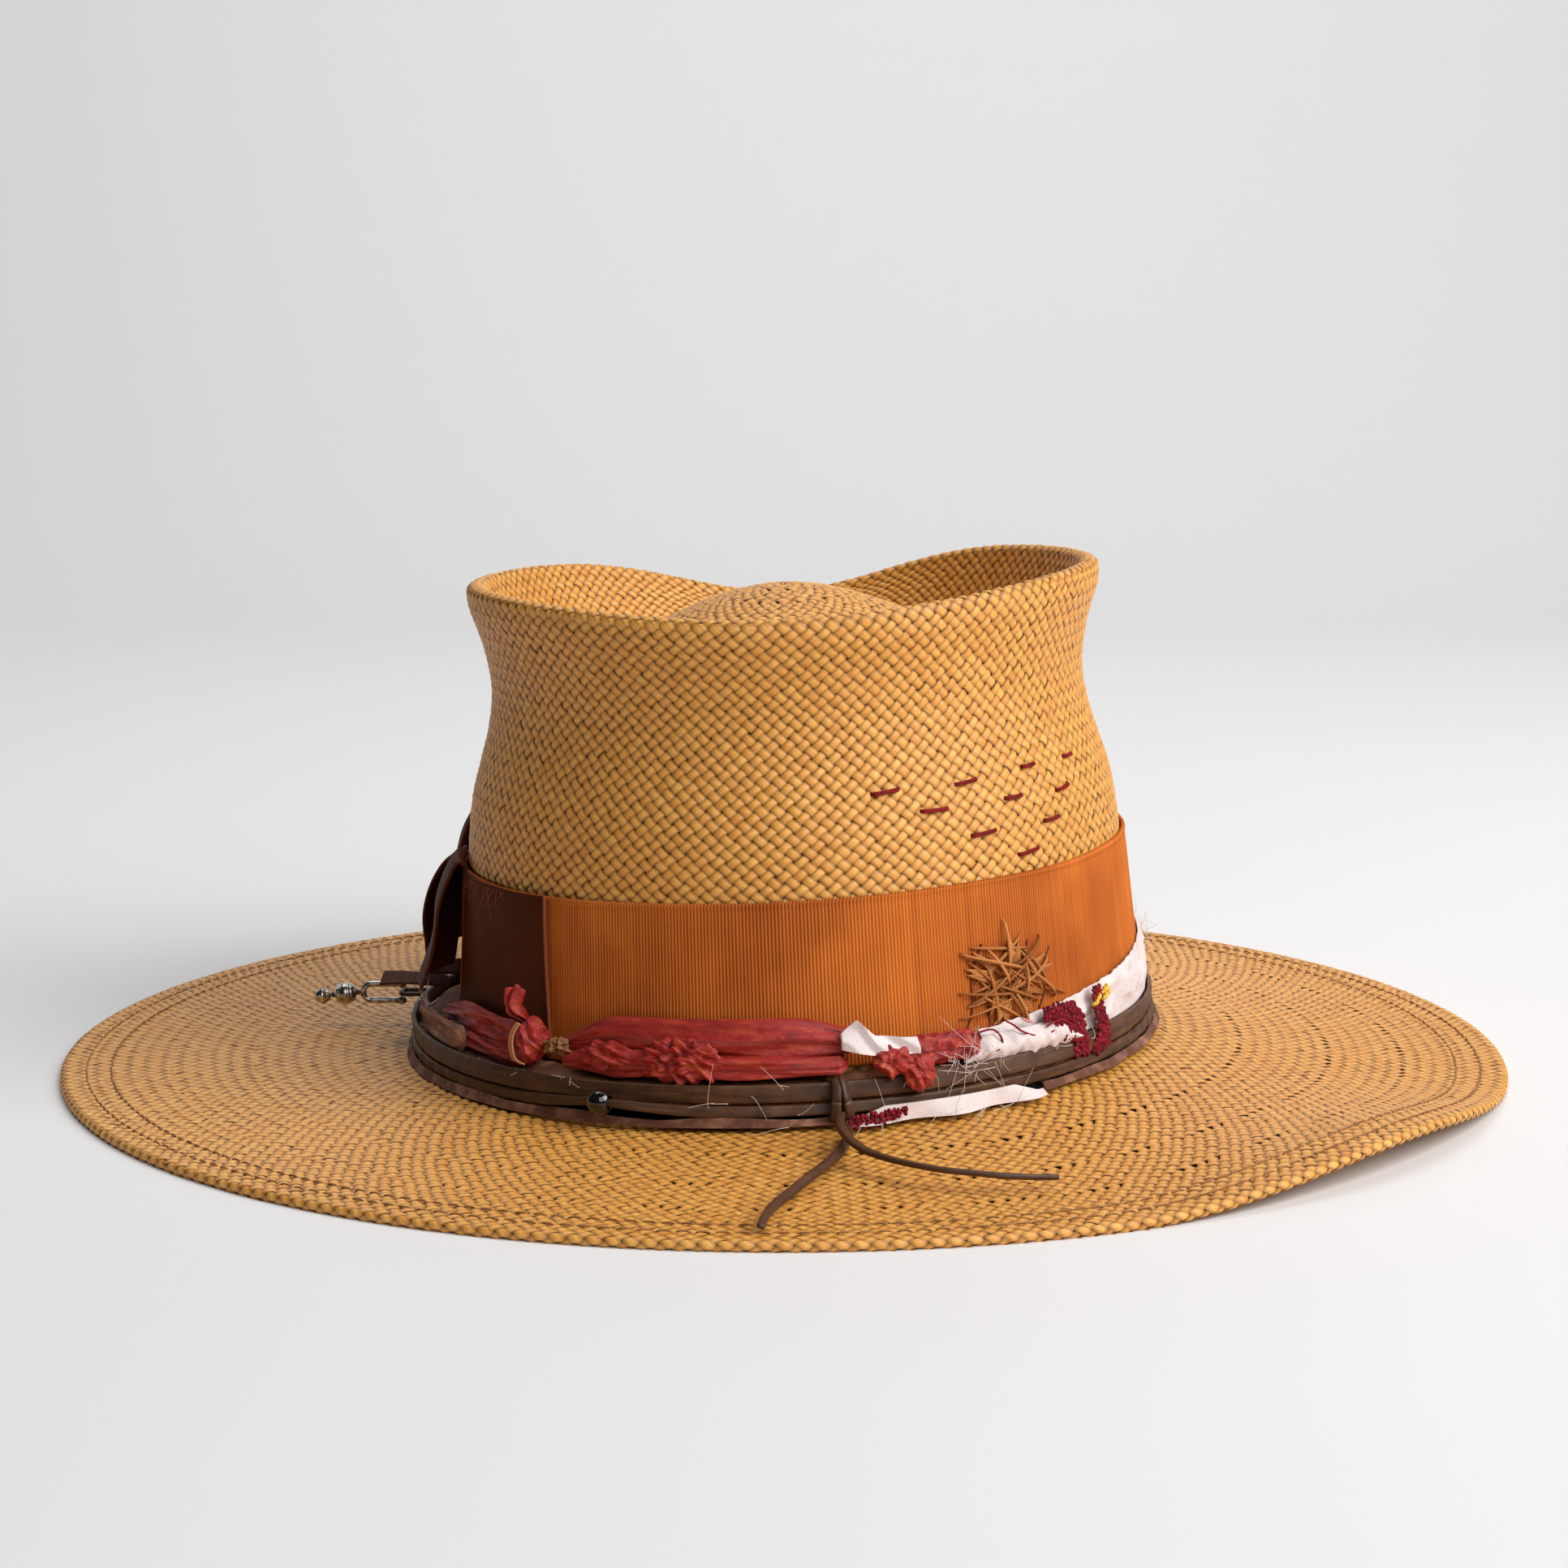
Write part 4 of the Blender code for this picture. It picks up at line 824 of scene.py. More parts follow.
def waves(x, y, seed, size, stretch=(1, 1), sharp=False):
    """A smooth random pattern with waves about size long, in metres. sharp turns its crests to creases."""
    draw = np.random.default_rng(seed)
    total = 0
    for _ in range(9):
        turn, length, phase = draw.uniform(0, math.pi), draw.uniform(0.55, 1.9), draw.uniform(0, TAU)
        run = x / stretch[0] * math.cos(turn) + y / stretch[1] * math.sin(turn)
        wave = np.sin(TAU * run / (size * length) + phase)
        total = total + (1 - 2 * np.abs(wave) if sharp else wave) * length
    return total / 4.5


def solid_sheet(name, outer, inner, uv, look, replaces=(), closed=False, tint=None):
    """A thin closed solid between two grids of points, rows across the strip and columns along it."""
    rows, columns = outer.shape[:2]
    n = rows * columns
    out = grid_faces(rows, columns, closed)
    back = out[:, ::-1] + n
    c = np.arange(columns if closed else columns - 1)
    d = (c + 1) % columns
    low = np.stack([c + n, d + n, d, c], -1)
    top = (rows - 1) * columns
    high = np.stack([c + top, d + top, d + top + n, c + top + n], -1)
    faces = [out, back, low, high]
    if not closed:
        r = np.arange(rows - 1) * columns
        s = r + columns
        faces.append(np.stack([r, s, s + n, r + n], -1))
        e = columns - 1
        faces.append(np.stack([r + e + n, s + e + n, s + e, r + e], -1))
    points = np.concatenate([outer.reshape(-1, 3), inner.reshape(-1, 3)])
    flat = np.concatenate([uv.reshape(-1, 2)] * 2)
    layers = {"uv": flat}
    if tint is not None:
        layers["tint"] = np.concatenate([np.broadcast_to(tint, (rows, columns)).ravel()] * 2)
    mesh = new_mesh(name, points, np.concatenate(faces), **layers)
    return piece(name, mesh, look, replaces)


def arc_length(angles, height, offset):
    """How far along the strip each angle is, in metres."""
    line = on_crown(angles, height, offset)
    return np.concatenate([[0], np.cumsum(np.linalg.norm(np.diff(line, axis=0), axis=-1))])


def crown_sheet(name, degrees, span, lift, thickness, look, replaces=(), rows=14, step=0.0005,
                tint=None):
    """A sheet wrapped on the crown. span(angle, u) gives its low and high edge; lift(u, v, angle, share)
    how far its inner face stands off the straw. A full turn closes on itself."""
    closed = abs(degrees[1] - degrees[0]) >= 360
    start, end = (math.radians(d) for d in degrees)
    count = int(abs(end - start) * 0.098 / step)
    angles = np.linspace(start, end, count, endpoint=not closed)
    u = arc_length(angles, 0.02, 0.002)
    low, high = span(angles, u)
    share = strip_widths(rows)[:, None]
    height = low + (high - low) * share
    offset = lift(u[None], height, angles[None], share)
    angle = np.broadcast_to(angles, height.shape)
    outer, inner = on_crown(angle, height, offset + thickness), on_crown(angle, height, offset)
    uv = np.stack(np.broadcast_arrays(u[None], height), -1)
    return solid_sheet(name, outer, inner, uv, look, replaces, closed,
                       None if tint is None else tint(u))


def frames_along(line):
    """For every point of a line: its direction, and two directions square to it that turn smoothly."""
    ahead = np.gradient(line, axis=0)
    ahead /= np.maximum(np.linalg.norm(ahead, axis=-1, keepdims=True), 1e-12)
    side = np.empty_like(ahead)
    start = np.cross(ahead[0], [0, 0, 1.0])
    if np.linalg.norm(start) < 0.1:
        start = np.cross(ahead[0], [1.0, 0, 0])
    side[0] = start / np.linalg.norm(start)
    for i in range(1, len(line)):
        turned = side[i - 1] - ahead[i] * np.dot(side[i - 1], ahead[i])
        side[i] = turned / np.linalg.norm(turned)
    return ahead, side, np.cross(side, ahead)


def swept(line, wide, high, around=8, twist=0.0, square=1.0, upright=False, taper=None):
    """A strap or thread along a line, with rounded ends. wide and high are half-sizes of its cut; square
    under 1 makes the cut boxier. Returns points, faces and uv."""
    line = np.asarray(line, float)
    ahead, side, up = frames_along(line)
    if upright:
        side = np.cross(ahead, [0, 0, 1.0])
        side /= np.linalg.norm(side, axis=-1, keepdims=True)
        up = np.cross(side, ahead)
    count = len(line)
    turn = np.arange(around) * TAU / around
    shares = np.ones(count) if taper is None else np.asarray(taper, float)
    spin = twist * np.linspace(0, 1, count)
    c = np.sign(np.cos(turn)) * np.abs(np.cos(turn)) ** square * wide
    s = np.sign(np.sin(turn)) * np.abs(np.sin(turn)) ** square * high
    x = c[None] * np.cos(spin)[:, None] - s[None] * np.sin(spin)[:, None]
    y = c[None] * np.sin(spin)[:, None] + s[None] * np.cos(spin)[:, None]
    x, y = x * shares[:, None], y * shares[:, None]
    rings = line[:, None] + side[:, None] * x[..., None] + up[:, None] * y[..., None]
    tips = [line[0] - ahead[0] * min(wide, high) * 0.5 * shares[0],
            line[-1] + ahead[-1] * min(wide, high) * 0.5 * shares[-1]]
    points = np.concatenate([rings.reshape(-1, 3), tips])
    quads = grid_faces(count, around, closed=True)[:, ::-1]
    k = np.arange(around)
    n = (k + 1) % around
    first = np.stack([k, n, np.full(around, count * around), np.full(around, count * around)], -1)
    last = (count - 1) * around
    second = np.stack([n + last, k + last, np.full(around, count * around + 1),
                       np.full(around, count * around + 1)], -1)
    run = np.concatenate([[0], np.cumsum(np.linalg.norm(np.diff(line, axis=0), axis=-1))])
    uv = np.stack(np.meshgrid(turn / TAU * math.pi * (wide + high), run, indexing="xy"), -1).reshape(-1, 2)
    uv = np.concatenate([uv, [[0, 0], [0, run[-1]]]])
    return points, quads, np.concatenate([first, second])[:, :3], uv


def bundle(name, parts, look, replaces=(), body="hat", tints=None):
    """Many swept threads as one piece."""
    points, faces, uvs, tint, base = [], [], [], [], 0
    for i, (p, quads, fans, uv) in enumerate(parts):
        points.append(p)
        faces += (quads + base).tolist()
        faces += (fans + base).tolist()
        uvs.append(uv)
        tint.append(np.full(len(p), tints[i] if tints is not None else random.normal()))
        base += len(p)
    mesh = new_mesh(name, np.concatenate(points), faces, uv=np.concatenate(uvs), tint=np.concatenate(tint))
    return piece(name, mesh, look, replaces, body)


def smooth_line(route, count):
    """count points on a smooth curve through the route's points."""
    points = np.asarray(route, float)
    spans = len(points) - 1
    padded = np.concatenate([points[:1], points, points[-1:]])
    at = np.linspace(0, spans, count)
    k = np.minimum(at.astype(int), spans - 1)
    t = (at - k)[:, None]
    p0, p1, p2, p3 = (padded[k + i] for i in range(4))
    return 0.5 * (
        2 * p1 + (p2 - p0) * t + (2 * p0 - 5 * p1 + 4 * p2 - p3) * t**2 + (3 * p1 - p0 - 3 * p2 + p3) * t**3
    )


def on_crown_line(places, count):
    """A smooth line through (degrees, height, offset) places of the crown's frame."""
    line = smooth_line(places, count)
    return on_crown(np.radians(line[:, 0]), line[:, 1], line[:, 2])


def stray_threads(places, lengths, radius, droop=0.3, curl=1.0, seed=5, points=9):
    """Thin curled threads. places are (degrees, height, offset, up, along, out) starts and directions."""
    draw = np.random.default_rng(seed)
    made = []
    for degrees, height, offset, up, along, out in places:
        length = draw.uniform(*lengths)
        t = np.linspace(0, 1, points)
        bend = draw.normal(0, 0.5 * curl, 3)
        h = height + length * t * (up + bend[0] * t) - droop * length * t * t
        a = math.radians(degrees) + length * t * (along + bend[1] * t) / 0.095
        o = np.maximum(offset + length * t * (out + 0.4 * bend[2] * t), 0.0004)
        taper = np.linspace(1, 0.55, points)
        made.append(swept(on_crown(a, h, o), radius, radius, 5, taper=taper))
    return made


# ---------------------------------------------------------------- ribbon and bow


def ribbon_top(angle):
    return RIBBON_TOP - RIBBON_DROOP * lobe(angle, math.pi, 2)


def ribs(u, pitch=RIB_PITCH, height=0.00020):
    return height * (0.5 + 0.5 * np.cos(TAU * u / pitch))


def rib_tone_and_valley_shade(u):
    # Each rib gets a random tone of its own, plus painted shade: the cosine term darkens the valley between ribs, in
    # step with the ribs' relief.
    k = np.floor(u / RIB_PITCH).astype(int)
    shades = np.random.default_rng(3).normal(0, 1, k.max() + 2)
    return 0.10 * shades[k] - 1.5 * (0.5 - 0.5 * np.cos(TAU * u / RIB_PITCH)) + 0.5


def make_ribbon(grosgrain, dark):
    def span(angle, u):
        top = ribbon_top(angle)
        return top - RIBBON_WIDTH, top + 0.00025 * np.sin(TAU * u / RIB_PITCH)

    def lift(u, v, angle, share):
        edge = 0.00022 * np.exp(-(((share - 0.985) / 0.012) ** 2)) - 0.00016 * np.exp(-(((share - 0.955) / 0.012) ** 2))
        loose = 0.00035 * (1 + waves(u, v, 21, 0.05, (1, 2)))
        return GAP + ribs(u) + edge + np.clip(loose, 0, 0.001)

    band = crown_sheet("ribbon_band_cloth", (0, 360), span, lift, RIBBON_THICKNESS, grosgrain,
                       ("ribbon_band",), rows=20, step=RIB_PITCH / 5, tint=rib_tone_and_valley_shade)

    def overlap_span(angle, u):
        return np.full_like(u, 0.0106), ribbon_top(angle) + 0.0002

    def overlap_lift(u, v, angle, share):
        near_fold = (math.radians(-133.0) + 0.028 * (1 - share) ** 2) - angle
        fold = 0.0009 * np.exp(-((near_fold / 0.010) ** 2))
        loose = 0.0004 * (1 + waves(u, v, 8, 0.028, (1, 1.6)))
        return 2 * GAP + RIBBON_THICKNESS + fold + np.clip(loose, 0, 0.0012) + ribs(u, RIB_PITCH * 0.8,
            0.00006)

    over = crown_sheet("ribbon_overlap_cloth", (-165.5, -133.0), overlap_span, overlap_lift, RIBBON_THICKNESS,
                       dark,
                       ("ribbon_overlap",), rows=24, step=RIB_PITCH / 5, tint=rib_tone_and_valley_shade)

    fold_line = [(-133.0 + 1.6 * (1 - s) ** 2, 0.0125 + 0.0365 * s,
                  0.0030 + 0.0002 * s) for s in np.linspace(0, 1, 6)]
    fold = swept(on_crown_line(fold_line, 60), 0.00045, 0.0004, 8)
    places = [(-158 + 1.15 * k, 0.0480, 0.0030, -0.9 + 0.25 * (k % 3), 0.5 * ((k % 4) - 1.5),
               0.35) for k in range(13)]
    frays = stray_threads(places, (0.003, 0.006), 0.00010, seed=12)
    thread = thread_material("ribbon_fold_thread", (0.16, 0.036, 0.012), (0.36, 0.095, 0.035))
    bundle("ribbon_overlap_fold", [fold] + frays, thread)


def loop_cloth(name, degrees, outline, look, replaces, thickness=0.0007, columns=40, ripple=0.0005, seed=2):
    """A folded strip of ribbon. outline(angle) is a list of (height, offset) corners it runs through."""
    angles = np.radians(np.linspace(*degrees, columns))
    lines = []
    for angle in angles:
        line = smooth_line([(h, o, 0) for h, o in outline(angle)], 240)[:, :2]
        run = np.concatenate([[0], np.cumsum(np.linalg.norm(np.diff(line, axis=0), axis=-1))])
        at = np.linspace(0, run[-1], 240)
        lines.append(np.stack([np.interp(at, run, line[:, 0]), np.interp(at, run, line[:, 1]), at], -1))
    lines = np.array(lines).transpose(1, 0, 2)
    height, offset, run = lines[..., 0], lines[..., 1], lines[..., 2]
    across = np.broadcast_to(angles * 0.09, height.shape)
    grid = on_crown(np.broadcast_to(angles, height.shape), height, offset)
    normal = np.cross(np.gradient(grid, axis=1), np.gradient(grid, axis=0))
    normal /= np.maximum(np.linalg.norm(normal, axis=-1, keepdims=True), 1e-12)
    free = np.clip((offset - 0.0022) / 0.003, 0, 1)
    bump = ripple * waves(run, across, seed, 0.022) * free + ribs(run, RIB_PITCH, 0.00009)
    outer = grid + normal * bump[..., None]
    inner = outer - normal * thickness
    uv = np.stack([run, across], -1)
    # Each rib gets a random tone, plus painted shade: the cosine darkens the valleys between ribs and lightens their
    # crests, in step with the ribs' relief.
    shades = np.random.default_rng(seed).normal(0, 1, 400)
    tint = 0.5 * shades[np.floor(run / RIB_PITCH).astype(int)] + 0.3 * np.cos(TAU * run / RIB_PITCH)
    return solid_sheet(name, outer, inner, uv, look, replaces, tint=tint)


def make_bow(dark):
    def front(angle):
        pinch = 0.6 * math.exp(-(((math.degrees(angle) + 184.0) / 5.0) ** 2))
        swell = 1 - 0.25 * lobe(angle, math.radians(-166.5), 40) - pinch
        arch = ((0.0490, 0.0055), (0.0450, 0.0082), (0.0395, 0.0106), (0.0340, 0.0112), (0.0285, 0.0122),
                (0.0222, 0.0143), (0.0188, 0.0158))
        return [(0.0200, BOW_SEAT), (0.0300, BOW_SEAT), (0.0400, BOW_SEAT), (0.0470, BOW_SEAT),
                (0.0494, 0.0030)] + [
            (h, o * swell) for h, o in arch
        ]

    def back(angle):
        pinch = 0.5 * math.exp(-(((math.degrees(angle) + 192.0) / 5.0) ** 2))
        swell = 0.45 + 0.55 * float(lobe(angle, math.radians(-192.0), 20)) - pinch
        edge = float(ribbon_top(angle))
        arch = ((0.0545, 0.0060), (0.0480, 0.0105), (0.0420, 0.0135), (0.0360, 0.0150), (0.0300, 0.0160),
                (0.0180, 0.0172))
        outline = [(0.0180, BOW_SEAT), (0.0300, BOW_SEAT), (edge, BOW_SEAT), (edge + 0.0050, BOW_SEAT),
                   (edge + 0.0088, 0.0032)]
        return outline + [(h, max(BOW_SEAT + 0.002, o * swell)) for h, o in arch]

    def knot(angle):
        return [(0.0150, BOW_SEAT + 0.0006), (0.0158, 0.0060), (0.0160, 0.0118), (0.0240, 0.0128),
                (0.0330, 0.0130),
                (0.0430, 0.0098), (0.0472, 0.0066), (0.0482, 0.0026), (0.0470, BOW_SEAT)]

    def tail(angle):
        return [(0.0156, 0.0060), (0.0160, 0.0110), (0.0166, 0.0170), (0.0170, 0.0225)]

    loops = (
        loop_cloth("bow_front_loop_cloth", (-184.0, -165.8), front, dark, ("bow_front_loop",), seed=4),
        loop_cloth("bow_back_loop_cloth", (-214.0, -192.0), back, dark, ("bow_back_loop",), seed=5,
                   ripple=0.0007),
    )
    knot_cloth = loop_cloth("bow_knot_cloth", (-191.4, -184.6), knot, dark, ("bow_centre_knot",), seed=6,
                            ripple=0.0008)
    loop_cloth("bow_tail_cloth", (-182.0, -176.0), tail, dark, ("bow_tail",), seed=7, ripple=0.0004,
               thickness=0.0005)


# ---------------------------------------------------------------- the wraps


def gathered(name, degrees, section, look, slot, replaces, seed, folds=0.0009, step=0.0004, around=64,
             lead=7.0):
    """A roll of crumpled cloth round the crown. section(angle) gives its middle height, its middle
    offset, and its half-height and half-depth, as arrays."""
    start, end = (math.radians(d) for d in degrees)
    count = max(12, int((end - start) * 0.1 / step))
    angles = np.linspace(start, end, count)
    middle, depth_at, half, deep = section(angles)
    turn = np.arange(around) * TAU / around
    u = arc_length(angles, 0.018, 0.005)
    girth = turn / TAU * math.pi * 0.010
    uu, gg = np.meshgrid(u, girth)
    long_folds = waves(uu / lead, gg, seed, 0.0062, sharp=True)
    crush = waves(uu / 2, gg, seed + 1, 0.0100)
    push = folds * (0.8 * long_folds + 0.5 * crush)
    push *= 0.5 + 0.5 * np.clip(np.cos(turn)[:, None] * 1.5 + 0.5, -1, 1)
    s, c = np.sin(turn)[:, None], np.cos(turn)[:, None]
    boxy_s, boxy_c = np.sign(s) * np.abs(s) ** 0.7, np.sign(c) * np.abs(c) ** 0.8
    closing = np.clip(np.minimum(u, u[-1] - u) / 0.0022, 0.02, 1) ** 0.5
    height = middle + (half * boxy_s + push * s) * closing
    offset = depth_at + (deep * boxy_c + push * c) * closing
    grid = on_crown(np.broadcast_to(angles, height.shape), height, np.maximum(offset, 0.0009))
    grid = grid.transpose(1, 0, 2)[:, ::-1]
    faces = grid_faces(count, around, closed=True)
    n = count * around
    ends = [grid[0].mean(0), grid[-1].mean(0)]
    points = np.concatenate([grid.reshape(-1, 3), ends])
    k = np.arange(around)
    d = (k + 1) % around
    caps = [[a, b, n][::-1] for a, b in zip(k, d)] + [[a, b, n + 1] for a,
        b in zip(k + n - around, d + n - around)]
    uv = np.stack([uu.T[:, ::-1], gg.T[:, ::-1]], -1).reshape(-1, 2)
    uv = np.concatenate([uv, uv[:2]])
    return piece(name, new_mesh(name, points, faces.tolist() + caps, uv=uv), look, replaces)


def crumpled_ball(name, degrees, height, offset, size, look, slot, replaces, seed, folds=0.0007, wraps=0.0,
                  crease_size=0.0055):
    """A knot or lump of cloth: a rounded body with folds that cross it."""
    angle = math.radians(degrees)
    across, up = 110, 72
    turn = np.arange(across) * TAU / across
    rise = np.linspace(-math.pi / 2, math.pi / 2, up)
    tt, rr = np.meshgrid(turn, rise)
    x, y, z = np.cos(rr) * np.cos(tt), np.cos(rr) * np.sin(tt), np.sin(rr)
    scale = 0.006
    crease = waves(scale * (x + 0.4 * z), scale * (z - 0.5 * y), seed, crease_size, sharp=True)
    push = folds * crease + wraps * np.cos(9 * (x * 0.9 + z * 0.5))
    height_at = height + (size[2] + push) * z
    offset_at = offset + (size[1] + push) * y
    angle_at = angle + (size[0] + push) * x / (np.linalg.norm(on_crown(angle, height, offset)[:2]))
    grid = on_crown(angle_at, height_at, np.maximum(offset_at, 0.0008))
    faces = grid_faces(up, across, closed=True)
    uv = np.stack([tt * size[0], rr * size[2]], -1).reshape(-1, 2)
    mesh = new_mesh(name, grid.reshape(-1, 3), faces, uv=uv)
    face_out(mesh, weld=1e-7)
    return piece(name, mesh, look, replaces)


def lace_offset(angle):
    return LACE_TIGHT + LACE_SLACK * (1 - np.cos(angle)) / 2


def ribbed_wrap(name, degrees, low, high, inner, outer, look, replaces, seed, ruffle=0.0004,
                step=0.0005, rows=30):
    """A band of cloth whose face bellies out, with long folds that run round with it."""
    def span(angle, u):
        wander = ruffle * waves(u, u * 0, seed + 5, 0.03)
        return low(angle) + wander, high(angle) + wander + 0.4 * ruffle * waves(u, u * 0, seed + 6, 0.004)

    def lift(u, v, angle, share):
        belly = np.sin(math.pi * np.clip(share, 0, 1)) ** 0.6
        folds = ruffle * 1.5 * waves(u / 8, v, seed, 0.0030, sharp=True) + ruffle * waves(u / 3, v, seed + 1,
            0.006)
        return inner(angle) + (outer(angle) - inner(angle)) * belly + folds

    return crown_sheet(name, degrees, span, lift, 0.0004, look, replaces, rows=rows, step=step)


def roll_section(edges, offsets, dips):
    """The cut of a roll: its top edge dips where dips says."""
    low, high = edges
    out, inside = offsets

    def section(angles):
        degrees = np.degrees(angles)
        top = np.full_like(angles, high)
        for centre, depth, width in dips:
            top = top - depth * np.exp(-(((degrees - centre) / width) ** 2))
        return (low + top) / 2, (inside + out) / 2 + 0 * angles, (top - low) / 2, (out - inside) / 2 + 0 * angles

    return section


def make_silk(silk, tan_thread):
    """The crimson wrap: rolls are (span, edges, offsets, node, seed), lumps (degrees, height, offset, size, node, seed)."""

    def roll(name, degrees, edges, offsets, node, seed, dips=(), **shape):
        gathered(name, degrees, roll_section(edges, offsets, dips), silk, "crimson_silk", node, seed, **shape)

    def lump(name, degrees, height, offset, size, node, seed, cloth=silk, **shape):
        crumpled_ball(name, degrees, height, offset, size, cloth, "crimson_silk", node, seed, **shape)

    roll("silk_left_folds", (-163.0, -136.0), (0.0122, 0.0196), (0.0076, 0.0034), ("silk_wrap_left",), 31,
         dips=((-136, 0.0015, 5), (-163, 0.003, 6)), folds=0.0010, lead=4.0)
    roll("silk_left_low_fold", (-158.0, -132.5), (0.0094, 0.0136), (0.0092, 0.0036), (), 36,
         dips=((-158, 0.002, 5),), folds=0.0008, lead=4.0)
    roll("silk_right_roll", (-127.0, -83.5), (0.0106, 0.0162), (0.0090, 0.0022), ("silk_wrap_right",), 44,
         dips=((-127, 0.0016, 4), (-110, -0.0010, 6)), folds=0.0008, lead=9.0)
    roll("silk_right_upper_roll", (-127.5, -81.5), (0.0152, 0.0240), (0.0070, 0.0018), (), 47,
         dips=((-127.5, 0.0060, 6), (-82, 0.0030, 5)), folds=0.0007, lead=9.0)
    lump("silk_bunch", -107.0, 0.0148, 0.0078, (0.0120, 0.0024, 0.0056), (), 51, folds=0.0011,
         crease_size=0.0034)
    lump("silk_fold_orange", -118.5, 0.0150, 0.0074, (0.0085, 0.0024, 0.0036), (), 58, folds=0.0006)
    roll("silk_end_roll", (-75.0, -63.0), (0.0112, 0.0178), (0.0066, 0.0016), ("silk_end",), 61,
         folds=0.0005, lead=0.6)
    lump("silk_left_knot", -131.3, 0.0166, 0.0088, (0.0034, 0.0042, 0.0056), ("silk_knot_left",), 71,
         folds=0.0006, wraps=0.00012)
    gold = leather_material("brown_gold_wrap", (0.10, 0.03, 0.01), (0.50, 0.24, 0.08))
    lump("silk_left_lump", -126.8, 0.0160, 0.0084, (0.0036, 0.0026, 0.0022), (), 74, cloth=gold, folds=0.0009)
    lump("silk_right_knot", -77.6, 0.0136, 0.0084, (0.0060, 0.0042, 0.0038), ("silk_knot_right",), 77,
         folds=0.0007, wraps=0.00012)
    lump("silk_right_tail", -74.2, 0.0108, 0.0096, (0.0046, 0.0032, 0.0044), (), 79, folds=0.0005)

    foot = on_crown(math.radians(-134.5), 0.0196, 0.0070)
    rises = ((-0.0014, -0.0006, 0.0024), (-0.0034, -0.0008, 0.0048), (-0.0024, -0.0006, 0.0086))
    line = smooth_line([foot] + [foot + rise for rise in rises], 24)
    rng = np.random.default_rng(90)
    strips = []
    for k in range(5):
        shift = rng.normal(0, 0.0005, 3)
        spread = np.linspace(0.1, 1, 24)[:, None] * rng.normal(0, 0.0014, 3)
        taper = 0.65 + 0.5 * np.sin(np.linspace(0.3, 2.6, 24) + k)
        strips.append(swept(line + shift + spread, 0.0016, 0.00035, 8, twist=rng.normal(0, 1.4), taper=taper))
    bundle("silk_left_tuft", strips, silk, ("silk_tuft",))
    loop = [
        (-131.9, 0.0212, 0.0130),
        (-132.6, 0.0188, 0.0137),
        (-132.7, 0.0160, 0.0139),
        (-132.2, 0.0130, 0.0136),
        (-131.4, 0.0116, 0.0120),
    ]
    binding = []
    for k in range(4):
        turn = on_crown_line([(d + 0.22 * k, h, o) for d, h, o in loop], 30)
        binding.append(swept(turn, 0.00022, 0.00022, 6))
    bundle("silk_knot_binding", binding, tan_thread)


# Loose threads: how many, then degrees, height, offset, and how far they run up, along and out. A pair is
# an even range, a list holds the spread of a normal draw about 0, and a number is fixed.
WHITE_FRAYS = (
    (44, ((-68.5, -60.5), (0.0080, 0.0140), (0.0060, 0.0080), [0.7], [1], (0, 0.3))),
    (10, ((-84, -40), 0.0102, 0.0090, (-0.5, 0.3), [1], 0.3)),
    (22, ((-4, 8), (0.014, 0.024), 0.0034, (-0.2, 0.7), [0.6], 0.7)),
    (12, ((-84, -60), 0.0012, 0.0118, 0.0, [1], 0.6)),
    (8, ((-103, -88), (0.0008, 0.0110), 0.0110, (-0.3, 0.3), [1], 0.4)),
)
TAN_FRAYS = (
    (12, ((-170, -164), (0.0130, 0.0160), 0.0105, (0, 1), [0.8], 0.4)),
    (12, ((-165, -100), 0.0100, 0.0110, (-0.2, 0.2), [1.2], 0.2)),
)


def fray_places(groups, seed):
    draw = np.random.default_rng(seed)

    def drawn(value):
        if isinstance(value, tuple):
            return draw.uniform(*value)
        return draw.normal(0, value[0]) if isinstance(value, list) else value

    return [tuple(drawn(value) for value in values) for count, values in groups for _ in range(count)]


